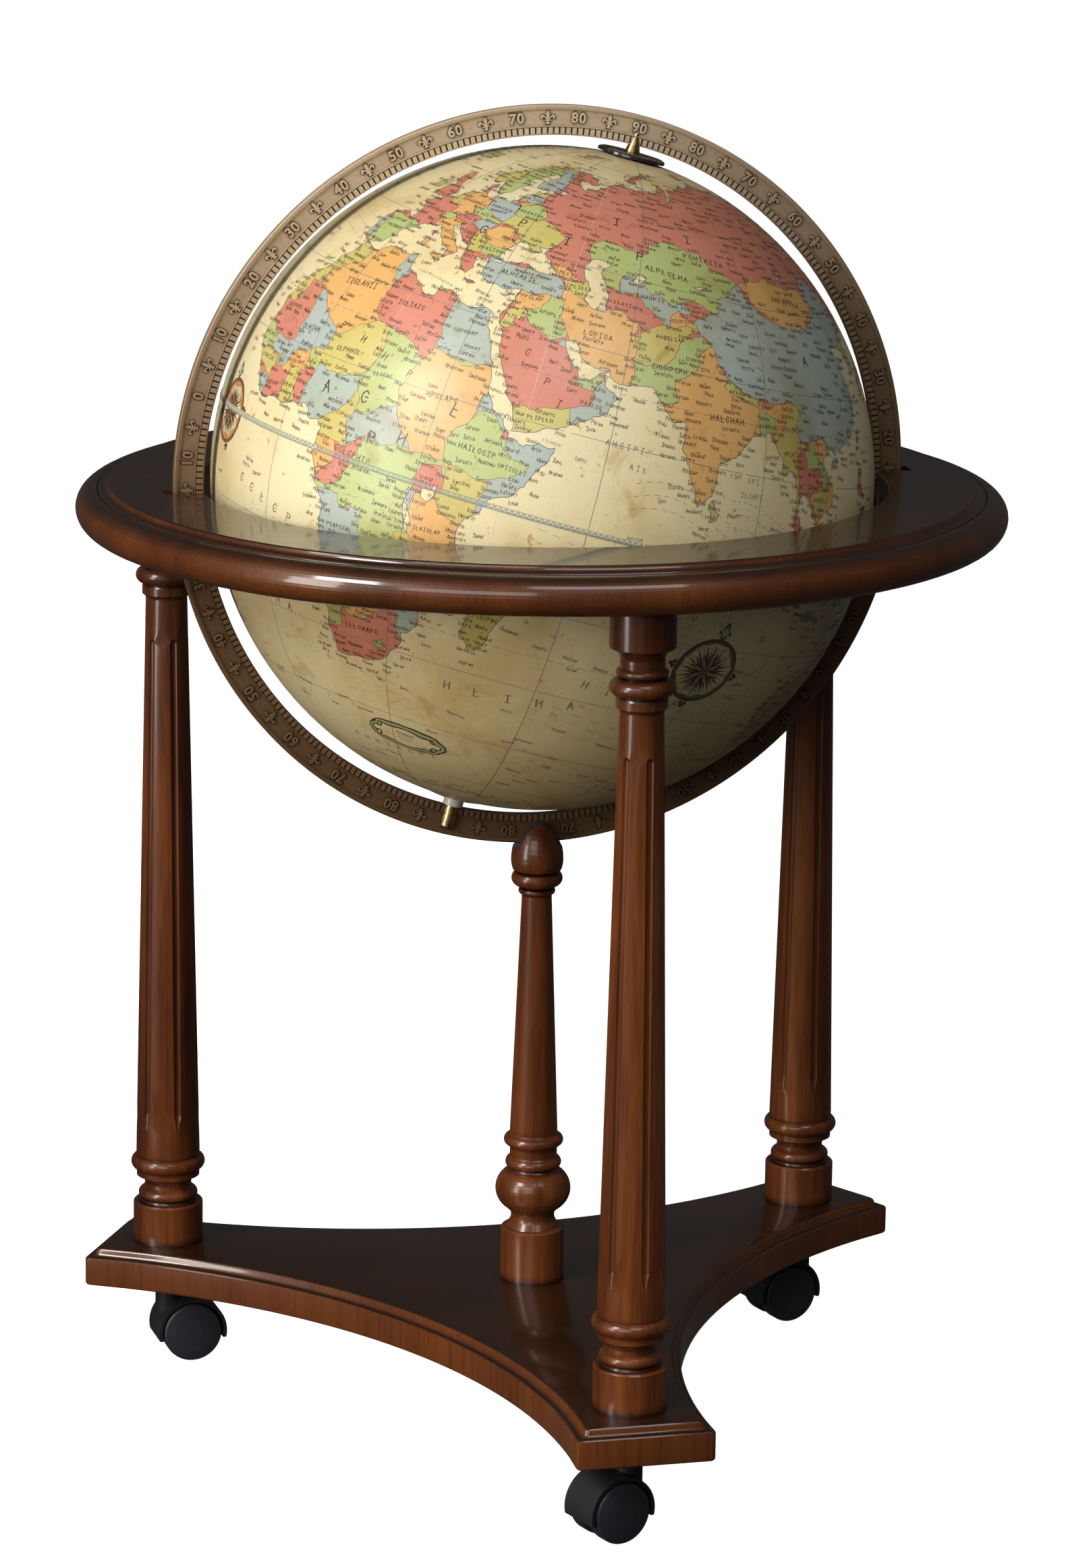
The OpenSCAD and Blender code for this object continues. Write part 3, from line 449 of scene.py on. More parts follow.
# Countries, laid over each other in this order and cut by the coastlines
COUNTRIES = {
    "morocco y": "-18 20.5 -13 21 -13 23 -9 27.5 -8.7 28.7 -2 32 -1.7 35.5 -6 37 -12 33",
    "mauritania r": "-18 16 -12 15 -5.5 15.5 -6.5 25 -9 27 -9 26 -12 26 -12 23.3 -13 21.3 -18 21",
    "algeria o": "-1.7 36 -2 32 -8.7 28.7 -8.7 27.3 -5 25 2 20 4 19 12 23.5 10 30 8 33 8.5 38",
    "tunisia b": "8.5 38 8 33 10 30 12 33 12 38",
    "libya r": "12 33.5 10 30 10 25 12 23.5 15 23 24 19.5 25 22 25 32.5 15 34",
    "egypt b": "25 32.5 25 22 37 22 34.5 29.5 34 32",
    "sudan o": "25 22 24 19.5 22 14 22.8 10.8 24 9 28 4.5 34 5 35.5 9 36.5 15 38 17.5 38.5 18.5 37.5 22",
    "chad g": "15 23 24 19.5 22 14 22.8 10.8 18 7.5 15 8 14 13 15.5 17",
    "niger y": "4 19 12 23.5 15 23 15.5 17 13.5 13.5 4 13 1 15",
    "mali b": "-12 15 -5.5 15.5 -6.5 25 -5 25 4 19 4 16 0 15 -5 10.5 -8 10.5 -11.5 12.3",
    "senegal g": "-18 16.5 -12 15 -11.5 12.4 -17 12",
    "guinea_c y": "-15.5 11.5 -11.5 12.3 -8 12 -8 8 -10.5 8.5 -13.5 9",
    "leone r": "-13.5 9.8 -10.4 8.5 -11.5 6.8",
    "liberia b": "-11.5 7 -10.4 8.5 -8 7.5 -7.5 4",
    "ivory r": "-8.5 4 -8 10.5 -3 10 -3 4.5",
    "burkina o": "-5.5 10 -3 9.6 2.3 11.5 0 15 -4 13.5",
    "ghana y": "-3 4 -3 11 0 11 1.2 5.5",
    "benin r": "1.2 5 0 11 2.3 12.3 3.7 11.5 2.7 6",
    "nigeria b": "2.7 6 3.7 11.7 4 13.5 13.5 13.7 14.4 11.5 11.5 6.8 9 4.3 6 3.5",
    "cameroon y": "8.5 4.5 11.5 6.8 14.4 11.5 14 13 15.5 9.5 14.5 6 16 2 9.5 2.3",
    "central b": "14.5 6 15.5 8 18 8 22.8 11 27.5 5 18.5 4.5 16 2.5",
    "gabon o": "9 2.3 13.3 2.2 14 -1.5 11 -4 8 -1",
    "congo r": "13.3 2.2 16 2 18.5 4.5 17.5 -1 15.5 -4.5 12 -5 11 -4 14 -1.5",
    "angola b": "11.5 -6 16.5 -6 17.5 -8 22 -7 22 -11 24 -11 24 -13 22 -13 22 -16 23.4 -17.6 11 -17.3",
    "zambia y": "24 -11 29 -12.5 28.5 -9 31 -8.3 33.3 -10 32.7 -14 27 -18 23.4 -17.6 22 -16 22 -13 24 -13",
    "zimbabwe b": "25.3 -17.8 30.4 -15.7 33 -17 32.5 -21 31.3 -22.4 29 -22",
    "namibia g": "11 -17.3 25 -17.8 21 -18.5 21 -22 20 -22 20 -28.5 16.5 -28.8 13 -23",
    "botswana o": "21 -18.3 25.3 -17.8 29 -22 25.5 -25.5 20 -27 20 -22 21 -22",
    "s_africa r": """16 -28.5 20 -28.5 20 -25 22 -26 25.5 -25.7 29.4 -22.1 31.3 -22.3 32 -26.8 34 -27
        30 -36 15 -36""",
    "lesotho g": "27 -29.6 28.7 -28.6 29.4 -29.6 28 -30.6",
    "mozambique b": """32.9 -26.8 31.3 -22.4 33 -17 30.4 -15.7 34.5 -14.5 35.2 -11.5 40.5 -10.5 42 -15
        36 -22""",
    "malawi r": "33 -9.5 34.5 -10 34.5 -14.5 35.5 -17 33 -14",
    "tanzania o": "29.6 -4.5 30.5 -1 34 -1 37.7 -3.2 39.3 -4.7 41 -10.5 34.5 -11.5 33 -9.5 31 -8.5 29.5 -6",
    "uganda r": "29.6 -1.4 30.8 3.5 34 4 35 1.5 34 -1",
    "kenya y": "34 -1 35 1.5 34 4.8 36 4.5 42 4 41 -2 39.3 -4.7",
    "ethiopia g": """34 5 36 4.5 39.5 3.5 42 4 45 5 48 8 43.2 9.3 42 11 42.4 12.5 40 14.5 37 14.3 36 12
        34.3 10.6 33 8""",
    "eritrea b": "36.5 15 37 17 38.5 18.2 43.3 12.5 42.4 12.4 40 14.5 37 14.3",
    "djibouti r": "42 11 42.4 12.5 43.6 12.5 43.2 11.2",
    "somalia b": "43.2 11.3 43 9.3 48 8 45 5 42 4 41 -2 44 0 52 9 52 12.5",
    "rwanda b": "29 -1.4 30.8 -1.2 30.5 -4.4 29 -4.4",
    "turkey b": "25.5 40.9 28 42 41.5 41.6 44.5 39.6 44.5 37 36.5 36.7 36 35.8 30 35.5 26 37",
    "georgia o": "39.5 43.5 46.5 42 46.3 41.2 41.5 41.4",
    "caucasus y": "43.5 41.1 46.3 41.3 48.6 41.9 51 40 48.8 38.3 46.5 38.8 44.5 39.8",
    "syria o": "35.7 34 36.2 36.9 42.3 37.3 41.2 34.4 38.8 33.4 36 32.6",
    "levant r": "34 31 35.7 34.8 36.2 34 35.6 31 35 29.4",
    "jordan y": "35.5 32.7 38.8 33.4 39.2 32.1 37 31.3 37.8 30.2 36 29.2 34.9 29.3",
    "iraq g": """42.3 37.3 41.2 34.4 38.8 33.4 39.2 32.1 44.7 29.1 47.8 30.5 47.7 31.3 45.5 34 45.5 36
        44.5 37.3""",
    "arabia r": """34.9 29.3 36 29.2 37.8 30.2 37 31.3 39.2 32.1 44.7 29.2 46.6 29.1 48.7 28.5 51 25
        51.6 24.2 52.5 23 55.1 22.7 55.6 22 55 20 52 19 48.5 18 46 17 43.3 17.3 42.7 16.3 38 20""",
    "kuwait b": "46.6 29.1 47.8 30.2 48.7 28.5",
    "yemen y": "42.7 16.3 43.3 17.3 46 17 48.5 18 52 19 53.2 16.6 52 14 43 12",
    "oman b": "52 19 55 20 55.7 22 55.2 22.8 55.8 24.2 56.4 24.9 60 23.5 58 18 53.1 16",
    "emirates g": "51.5 24.2 52.5 23 55.1 22.7 55.8 24.2 56.4 24.9 56.5 26.5 54 25.5",
    "iran o": """44.5 39.8 46.5 38.8 48.8 38.3 50 37.5 54 37.3 57 38.2 61.2 36.5 60.7 34.3 61.7 31.4
        61 29.8 63.2 27.2 61.6 25 54 25.8 48.6 29.8 47.7 31.3 45.5 34 45.5 36 44.5 37.3""",
    "turkmen r": "52.5 42 54 37.3 57 38.2 61.2 36.5 62.5 35.3 66.6 37.4 62 40 60 42.3 57 41.3 56 41.5",
    "kazakh g": """47 48 49 46 51 44.5 52.5 42 56 41.4 56 45 58.6 45.6 61.3 44.2 66 42.5 68 41.2 71 42.8
        74 43.2 80.2 42.2 80 45 83 45.8 85.8 48.3 87.3 49.1 83 51 80 51 77 54.3 71.5 54.2 69 55.4 62 54
        61.5 51 58 51 53 51.5 50 51.6 47 50""",
    "uzbek b": """56 41.3 56 45 58.6 45.6 61.3 44.2 66 42.5 68 41.2 71 42.2 73 40.8 70 40.3 68 38.8
        68 37.2 66.6 37.4 62 40 60 42.3 57 41.3""",
    "kyrgyz r": "69.5 39.8 74 39.6 80.2 42.2 74 43.2 71 42.7 73 40.8 70 40.3",
    "tajik o": "67.8 37.2 68 39.4 70 40.9 70.5 39.8 74 39.4 75 37.4 71.5 36.7",
    "afghan y": """60.7 34.3 62.5 35.3 66.6 37.4 71.5 38.2 75 37.4 71.3 36 70 33.5 69.3 31.8 66.3 29.8
        61 29.8 61.7 31.4""",
    "pakistan g": """61 29.8 66.3 29.8 69.3 31.8 70 33.5 71.3 36 75 37 77.5 35.5 74.5 33.5 75 32.2
        73.5 29.9 70 27.9 71 24.5 68.5 23.7 66 24 61.6 25""",
    "india o": """68.3 23.6 71 24.5 70 27.9 73.5 29.9 75 32.2 74.5 33.5 77.5 35.5 79 32.5 81 30.2
        80.2 28.8 88 26.5 88.8 27.8 92 27.6 97.3 28.2 95 25.5 93.2 22.2 92.2 21 88.8 21 80 6 76 7 68 19""",
    "china b": """73.5 39.5 80.2 42.2 80 45 83 45.8 85.8 48.3 87.8 49.1 91 45 96.5 42.7 105 41.8
        111.8 43.7 119.7 46.7 116 48 120 53 126 52.5 131 47.8 134.5 48.3 131 44.9 130.5 42.4 126.8 41.7
        124.3 39.9 124 30 117 20 108 19 108 21.6 105.4 23.2 102 22.5 99.2 22 97.6 24 98.7 27.5 97.3 28.3
        92 27.6 89.5 28.2 88 27.9 81.2 30.3 79 32.5 77.5 35.5 75 37.4""",
    "nepal y": "80.2 28.8 81.2 30.3 88.1 27.9 88 26.4",
    "bhutan r": "88.9 26.8 89.5 28.2 92 27.6 91.8 26.8",
    "bangla g": "88.2 26.2 92.3 25 92.4 21 88.8 21.4",
    "mongolia o": """87.8 49.1 92 50.7 98.5 52 102 51.3 107 49.9 114 50.2 116.5 49.8 116 48 119.7 46.7
        111.8 43.7 105 41.8 96.5 42.7 91 45.1""",
    "n_korea g": "124.3 39.9 126.8 41.7 130.7 42.4 128.5 38.4 126 37.8 124 38",
    "s_korea y": "126 37.8 128.5 38.4 130 36 128 34 125.5 34",
    "burma y": """92.2 21 93.2 22.2 95 25.5 97.3 28.2 98.7 27.5 97.6 24 99.2 22 101.1 21.5 98 19.5
        98.7 16 99.5 11 97.5 9.5 93 16""",
    "thai r": """98 19.5 100 20.3 101 17.6 104.5 18 105.5 15 102.5 13.7 102.8 11.5 100.5 7 102 6 100 6.3
        97.8 7.5 99.5 11 98.7 16""",
    "laos g": "100 20.3 102.2 22.4 104.5 19.5 107.5 15.8 107 14.2 105.5 14.5 104.5 18 101 17.6",
    "khmer y": "102.5 13.7 105.5 14.5 107.6 14.3 107.5 12 104.5 10.2 102.8 11.5",
    "vietnam o": """102.2 22.4 105.4 23.3 108.2 21.7 110 15 109.8 11 105 8 104.5 10.2 107.5 12
        107.5 15.8 104.5 19.5""",
    "malaya b": "100 6.5 102.2 6.3 104 1 100.5 2.5",
    "n_borneo b": "109 1.7 112 1.5 115 3 117.5 4.2 119.5 5 117 8 111 3.5",
    "ukraine y": """22 48.3 24 51.8 31 52 34 52.3 40 49.6 38.3 47 36.5 45.3 37 44.5 33 44 30.5 45.2
        28.3 45.4 30 46.5 27.5 48.3""",
    "belarus g": "23.6 51.6 23.5 54 28 56.1 32.7 53.3 31 52 27 51.5",
    "lithuania o": "21 55.3 22 56.3 26.5 55.6 23.5 54",
    "latvia b": "21 57.7 28 57.5 28 56.1 21 56.3",
    "estonia y": "21.5 58 24.5 57.9 27.5 57.6 28.2 59.7 22 59.8",
    "poland b": "14.2 54.3 19 55 23 54.2 24 51.5 22.8 49.2 19 49.5 15 51",
    "germany o": "6 51 7 54.2 9 55 14.2 54.5 15 51 12.3 50.3 13.6 48.7 12.8 47.6 7.6 47.6 8 49 6.2 49.5",
    "france r": "-5 48.5 2.5 51.2 8 49 7.6 47.6 6 46.3 7 45 7.6 43.5 3 42.4 -1.8 43.3 -3 46",
    "benelux y": "3 51.2 5 54 7 53.5 6 51 6.2 49.5 2.5 50.8",
    "spain g": "-9.5 43.8 -1.8 43.4 3.3 42.4 0 39 -1 36.8 -7 36.5 -7 42",
    "portugal b": "-8.9 42 -6.5 42 -7.2 37 -9.5 37 -10 39",
    "austria r": "9.5 47.5 13 48.6 17 48.5 16 46.7 13 46.5 10.5 46.8",
    "swiss g": "6 46.2 7.6 47.6 9.6 47.5 10.5 46.7 9 45.9 7 45.9",
    "italy o": "7 44 7 45.8 9 45.9 10.5 46.7 13.7 46.5 13.4 45.3 12.3 44.5 20 40 16 37 10 42 7.6 43.5",
    "czech g": "12.3 50.3 15 51.1 19 49.6 22.6 49 22 48.2 17 48.3 13.6 48.6",
    "hungary b": "16 46.7 17 48 22.5 48.2 20.5 46.1 18.5 45.8",
    "romania o": "20.5 46.1 22.5 48 27 48.3 28.3 45.5 29.8 45.3 28.6 43.7 23 43.8",
    "bulgaria g": "22.6 44.2 23 43.8 28.6 43.7 28 42 26.5 41.5 23 41.4",
    "serbia y": "18.5 45.8 20.5 46.1 22.6 44.2 23 41.4 20 41",
    "croatia r": "13.5 46 16.5 46.4 18.5 45.8 19.3 42 15 43.5",
    "greece r": "20 40 21 41 26.3 41.7 26 40 24.5 37 22 36 20.5 38",
    "norway y": "4 58 11 58.8 12.5 61 12 64 15 66.5 20 69 25 68.8 28.5 70 31 69.5 31 72 16 71 3 62",
    "sweden g": "11 58.8 12.5 61 12 64 15 66.5 20 69 23.8 67.5 24.2 65.7 18.5 63 19.5 60 15 55 12.5 55",
    "finland b": """20.6 69.1 25 68.8 28 70 30 67.7 30 64 31.5 62.5 27.8 60.4 21 59.6 21 62.5 24.2 65.7
        23.8 67.5""",
    "denmark r": "8 55 9 54.8 13 54.8 13 56 10.5 58 8 57.5",
    "papua o": "141 -2 151 -4 151 -11 141 -10",
    "usa y": """-128 49.3 -95 49 -88 48 -82 42 -75 45 -67 47 -66 43 -80 24 -97 25.8 -101 29.5
        -106.5 31.8 -114.8 32.4 -118 32 -128 40""",
    "canada r": """-141 71 -141 60 -130 54 -125 49 -95 49 -88 48 -82 42 -75 45 -67 47 -52 46 -60 60
        -80 75 -125 72""",
    "mexico o": """-118 32.6 -114.8 32.5 -106.5 31.8 -101 29.5 -97 25.8 -96 20 -86 22 -88.5 18 -92 14.5
        -106 18""",
    "guatemala b": "-92.3 14.5 -89 17.8 -88 16 -83.5 15 -85 13 -90 13",
    "colombia o": "-79 9 -72 13 -71 7 -67 6 -70 1 -70 -4 -75 0 -79 1.5",
    "venezuela b": "-72 12 -71 7 -67 6 -67 1 -64 2 -60 5 -60 9 -62 11.5",
    "guianas y": "-60 8 -60 3 -52 2 -51 5 -57 7",
    "ecuador r": "-82 1 -79 1.5 -75 0 -79 -5 -82 -4",
    "peru y": "-82 -4 -79 -5 -75 0 -70 -4 -73 -9 -69 -12 -69 -18 -76 -18 -82 -8",
    "bolivia o": "-69 -10 -65 -10 -58 -17 -62 -22 -68 -22.5 -69 -18",
    "chile b": "-72 -18 -69 -18 -68 -22.5 -70 -32 -72 -40 -72 -50 -69 -52 -68 -56 -77 -52",
    "argentina r": """-68 -22.5 -62 -22 -54 -26 -58 -34 -57 -38 -62 -42 -64 -52 -69 -52 -72 -50 -72 -40
        -70 -32""",
    "paraguay y": "-62 -22 -58 -20 -54 -25 -57 -27",
    "uruguay o": "-58 -30 -53 -33 -54 -35.5 -59 -34.5",
}


def outline(text):
    """Points from a line of numbers."""
    values = [float(v) for v in text.split()]
    return list(zip(values[0::2], values[1::2]))


def wobble(a, b, depth, share):
    """Points from a to b, not counting b, along a line that wanders by a share of its length.

    The draw depends only on the two ends, so a border that two countries share wanders alike in both.
    The map's own frame stays straight."""
    on_frame = abs(a[0]) == abs(b[0]) == 180 or max(a[1], b[1]) < -87
    if depth == 0 or math.dist(a, b) < 0.9 or on_frame:
        return [a]
    low, high = (a, b) if a < b else (b, a)
    shift = random.Random(f"{low[0]:.3f} {low[1]:.3f} {high[0]:.3f} {high[1]:.3f}").uniform(-share, share)
    if a > b:
        shift = -shift
    middle = ((a[0] + b[0]) / 2 - (b[1] - a[1]) * shift, (a[1] + b[1]) / 2 + (b[0] - a[0]) * shift)
    return wobble(a, middle, depth - 1, share) + wobble(middle, b, depth - 1, share)


def sides_of(ring):
    """The sides of a closed outline, as pairs of corners."""
    return zip(ring, ring[1:] + ring[:1])


def shore(points, share):
    """A closed outline with wandering sides."""
    out = []
    for a, b in sides_of(points):
        out += wobble(a, b, WANDER_DEPTH, share)
    return out


def area(points):
    """Twice the area inside an outline, above zero if it runs anticlockwise."""
    return sum(a[0] * b[1] - b[0] * a[1] for a, b in sides_of(points))


def sphere_point(lon, lat, radius):
    """A place on the upright ball, from degrees and millimetres."""
    lo, la = math.radians(lon + MAP_TURN), math.radians(lat)
    return Vector((math.cos(la) * math.cos(lo), math.cos(la) * math.sin(lo), math.sin(la))) * radius * MM


# Lands that countries are laid over; the islands keep one tint
MAINLANDS = ("africa", "eurasia", "n_america", "s_america", "borneo", "guinea")
ISLANDS = {name for name in LANDS if name.split()[0] not in MAINLANDS}

# The map's mesh, in degrees: its last parallel, its cells and its gores
MAP_EDGE = 88.0
MAP_ROWS = 60
CELL = 3.0
GORE = 30
GORE_START = 15
DEGREE = 3.55  # millimetres on the ball to a degree of arc

# How far the sides of an outline wander, as a share of their length, and how often each is halved
COAST_WANDER = 0.16
BORDER_WANDER = 0.12
LAKE_WANDER = 0.14
WANDER_DEPTH = 4

# The tape along the equator: width, heights of its face and edges above the ball, and its tone
TAPE_W = 3.2
TAPE_LIFT = 0.35
TAPE_EDGE_LIFT = 0.08
TAPE_TONE = 0.93

# Heights of the inks above the ball, so that crossing marks lie over each other
LINE_LEVEL = 0.04
FLOW_LEVEL = 0.05
COAST_LEVEL = 0.07
BORDER_LEVEL = 0.09
MARK_LEVEL = 0.13
BAND_LEVEL = 0.42


def solve_map():
    """Cuts the map into triangles of one tint each: points, triangles, their owners and the owners' kinds."""
    points, edges, faces, kinds = [], [], [], []

    def add_line(chain):
        first = len(points)
        points.extend(chain)
        edges.extend((first + i, first + i + 1) for i in range(len(chain) - 1))

    def add_face(chain, kind):
        if area(chain) < 0:
            chain = chain[::-1]
        first = len(points)
        points.extend(chain)
        faces.append(list(range(first, first + len(chain))))
        kinds.append(kind)

    for name, text in LANDS.items():
        chain = shore(outline(text), COAST_WANDER)
        kind = ("land", name.split()[1], name)
        add_face(chain, kind)
        if any(lon > 180 for lon, lat in chain):
            add_face([(lon - 360, lat) for lon, lat in chain], kind)
        if any(lon < -168 for lon, lat in chain) and not name.startswith("antarctica"):
            add_face([(lon + 360, lat) for lon, lat in chain], kind)
    for name, text in COUNTRIES.items():
        add_face(shore(outline(text), BORDER_WANDER), ("country", name.split()[1], name))
    for name, text in WATERS.items():
        add_face(shore(outline(text), LAKE_WANDER), ("water", "", name))
    steps = [round(-MAP_EDGE + 2 * MAP_EDGE * i / MAP_ROWS, 4) for i in range(MAP_ROWS + 1)]
    columns = int(360 / CELL) + 1
    for i in range(columns):
        lon = -180 + i * CELL
        if (lon - GORE_START) % GORE == 0 or abs(lon) == 180:
            add_line([(lon, lat) for lat in steps])
        else:
            # Off the square grid, which could be cut into triangles in many ways
            jog = 0.7 * math.sin(i * 2.1)
            points.extend((lon, lat + (jog if 2 < abs(lat) < 80 else 0)) for lat in steps)
    for lat in (-MAP_EDGE, MAP_EDGE, 0.0):
        add_line([(-180 + i * CELL, lat) for i in range(columns)])
    out = delaunay_2d_cdt([Vector(p) for p in points], edges, faces, 0, 1e-4, False)
    verts = np.array([(v.x, v.y) for v in out[0]])
    tris = np.array([tuple(t) for t in out[2]])
    middles = verts[tris].mean(axis=1)
    kept = (abs(middles[:, 0]) < 180) & (abs(middles[:, 1]) < MAP_EDGE)
    outlines = [np.array([points[i] for i in face]) for face in faces]
    return verts, tris[kept], find_owners(middles[kept], outlines, kinds), kinds


def find_owners(middles, outlines, kinds):
    """The number of the land or country that each triangle belongs to, or -1 for water."""
    owner = np.full(len(middles), -1)
    land = np.zeros(len(middles), bool)
    for number, (ring, kind) in enumerate(zip(outlines, kinds)):
        inside = within(middles, ring)
        if kind[0] == "land":
            owner[inside] = number
            land |= inside
        elif kind[0] == "country":
            isle = np.array([o >= 0 and kinds[o][2] in ISLANDS for o in owner])
            owner[inside & land & ~isle] = number
        else:
            owner[inside] = -1
    return owner


def within(spots, ring):
    """Which spots lie inside the closed ring."""
    inside = np.zeros(len(spots), bool)
    low, high = ring.min(axis=0), ring.max(axis=0)
    near = np.where(((spots > low) & (spots < high)).all(axis=1))[0]
    x, y = spots[near].T
    crossings = np.zeros(len(near), int)
    for (ax, ay), (bx, by) in zip(ring, np.roll(ring, -1, axis=0)):
        if ay != by:
            crossings += ((ay > y) != (by > y)) & (x < (bx - ax) * (y - ay) / (by - ay) + ax)
    inside[near] = crossings % 2 == 1
    return inside


# Gloss varnish over paper and ink alike
VARNISH = {"Coat_Weight": 1.0, "Coat_Roughness": 0.38, "Specular_IOR_Level": 0.25}


def ball_material(name):
    """Printed paper under varnish, yellowed and foxed with age, and browned by painted shade low down, most
    on the right.
    """
    mat, tree, bsdf = new_material(name)
    vector = coords(tree)
    stain = noise(tree, vector, 9.0, 5, 0.62, 0.4)
    blot = noise(tree, vector, 34.0, 4, 0.6, 0.8)
    fox = noise(tree, vector, 170.0, 3, 0.55)
    fibre = noise(tree, vector, 900.0, 2, 0.6)
    base = node(tree, "ShaderNodeVertexColor", layer_name="tint").outputs["Color"]
    stops = [(0.34, (0.78, 0.64, 0.42)), (0.50, (0.96, 0.92, 0.82)), (0.66, (1.0, 1.0, 1.0))]
    colour = mix(tree, 0.85, base, ramp(tree, stain, stops), "MULTIPLY")
    colour = toned(tree, colour, blot, 0.55, 0.30, 0.40, (0.70, 0.55, 0.34))
    colour = toned(tree, colour, fox, 0.7, 0.27, 0.34, (0.60, 0.38, 0.14))
    colour = toned(tree, colour, fibre, 0.8, 0.30, 0.55, (0.93, 0.91, 0.86))
    # Painted shade: the lower part of the ball is browned, most on its right
    low = to_range(tree, axis(tree, vector, "Z"), 1.0, 0.0, 0.40, 0.56)
    right = to_range(tree, axis(tree, vector, "X"), 0.45, 1.0, -0.15, 0.15)
    painted_shade_colour = mix(tree, 1.0, colour, PAINTED_SHADE_TINT, "MULTIPLY")
    colour = mix(tree, product(tree, low, right), colour, painted_shade_colour)
    tree.links.new(colour, bsdf.inputs["Base Color"])
    tree.links.new(to_range(tree, stain, 0.50, 0.42), bsdf.inputs["Roughness"])
    set_inputs(bsdf, **VARNISH)
    bump(tree, bsdf, fibre, 0.00004, 0.25)
    return mat


def ink_material(name, colour):
    """Flat ink under the same varnish as the paper."""
    mat, _, bsdf = new_material(name)
    set_inputs(bsdf, Base_Color=(*colour, 1), Roughness=0.45, **VARNISH)
    return mat


class Print:
    """Flat marks laid on the ball, gathered into one mesh for each ink."""

    def __init__(self):
        self.faces = {}

    def add(self, ink, level, corners):
        """A face from unit vectors, at a level in millimetres above the ball."""
        self.faces.setdefault((ink, level), []).append([c * ((BALL_R + level) * MM) for c in corners])

    def line(self, ink, a, b, width, level):
        """A ribbon between two unit vectors."""
        side = a.cross(b)
        if side.length < 1e-9:
            return
        side = side.normalized() * (width / 2 / BALL_R)
        along = (b - a).normalized() * (width / 3 / BALL_R)
        self.add(ink, level, [a - along - side, b + along - side, b + along + side, a - along + side])

    def chain(self, ink, points, width, level):
        """Ribbons from each point to the next."""
        for a, b in zip(points, points[1:]):
            self.line(ink, a, b, width, level)

    def build(self, inks, body):
        """One piece to each ink and level, riding on the body."""
        for (ink, level), faces in self.faces.items():
            verts, polys = [], []
            for corners in faces:
                polys.append(tuple(range(len(verts), len(verts) + len(corners))))
                verts += [TO_MERIDIAN @ c for c in corners]
            obj = new_mesh(f"map_{ink}_{round(level * 100)}", verts, polys, inks[ink])
            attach(obj, body)


def new_mesh(name, verts, faces, mat, smooth=False):
    """An object made of points and faces."""
    mesh = bpy.data.meshes.new(name)
    mesh.from_pydata([tuple(v) for v in verts], [], [tuple(f) for f in faces])
    mesh.materials.append(mat)
    if smooth:
        mesh.polygons.foreach_set("use_smooth", [True] * len(mesh.polygons))
    obj = bpy.data.objects.new(name, mesh)
    bpy.context.scene.collection.objects.link(obj)
    return obj


def circle(radius, steps, centre=(0, 0)):
    """Corners of a flat circle."""
    turns = np.linspace(0, math.tau, steps + 1)[:-1]
    return [(centre[0] + radius * math.cos(a), centre[1] + radius * math.sin(a)) for a in turns]


class Spot:
    """A place on the ball, with flat millimetre coordinates round it: u to the east, v to the north."""

    def __init__(self, lon, lat, turn=0.0):
        self.up = sphere_point(lon, lat, 1 / MM)
        east = Vector((-self.up.y, self.up.x, 0)).normalized()
        north = self.up.cross(east)
        c, s = math.cos(math.radians(turn)), math.sin(math.radians(turn))
        self.east, self.north = east * c + north * s, north * c - east * s

    def at(self, u, v):
        """The unit vector towards a place near the spot."""
        return (self.up * BALL_R + self.east * u + self.north * v).normalized()

    def shape(self, page, ink, level, corners):
        page.add(ink, level, [self.at(u, v) for u, v in corners])

    def path(self, page, ink, width, corners):
        page.chain(ink, [self.at(*c) for c in corners], width, MARK_LEVEL)


def tint_of(owner, kinds):
    """The printed colour of a triangle."""
    return PARCHMENT if owner < 0 else TINTS[kinds[owner][1]]


def paint(obj, shades):
    """Stores a colour for each face corner, in the layer that the printed paper reads."""
    layer = obj.data.color_attributes.new("tint", "FLOAT_COLOR", "CORNER")
    layer.data.foreach_set("color", np.array(shades, np.float32).ravel())


def build_gores(verts, tris, owner, kinds):
    """The map's paper: twelve gores to each half of the ball."""
    mat = ball_material("map_paper")
    middles = verts[tris].mean(axis=1)
    count = 360 // GORE
    columns = np.floor((middles[:, 0] - GORE_START) / GORE).astype(int) % count
    on_ball = [sphere_point(lon, lat, BALL_R) for lon, lat in verts]
    tints = [tint_of(o, kinds) for o in owner]
    for half, north in (("south", False), ("north", True)):
        for column in range(count):
            chosen = np.where((columns == column) & ((middles[:, 1] > 0) == north))[0]
            used = np.unique(tris[chosen])
            place = {int(v): i for i, v in enumerate(used)}
            points = [TO_MERIDIAN @ on_ball[v] for v in used]
            faces = [[place[int(v)] for v in tris[t]] for t in chosen]
            obj = new_mesh(f"gore_{half}_{column:02d}", points, faces, mat, True)
            paint(obj, np.repeat([(*tints[t], 1.0) for t in chosen], 3, axis=0))
            obj.data.normals_split_custom_set_from_vertices([(p - CENTRE).normalized() for p in points])
            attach(obj, "ball")
            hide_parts(f"{half}_hemisphere")


def draw_borders(page, verts, tris, owner):
    """Coasts and borders run between triangles of different owners."""
    sides = {}
    for t, tri in enumerate(tris):
        for i in range(3):
            a, b = int(tri[i]), int(tri[(i + 1) % 3])
            sides.setdefault((min(a, b), max(a, b)), []).append(owner[t])
    for (a, b), owners in sides.items():
        if len(owners) == 2 and owners[0] != owners[1]:
            ends = [sphere_point(*verts[i], 1 / MM) for i in (a, b)]
            if min(owners) < 0:
                page.line("coast", *ends, 0.42, COAST_LEVEL)
            else:
                page.line("border", *ends, 0.26, BORDER_LEVEL)


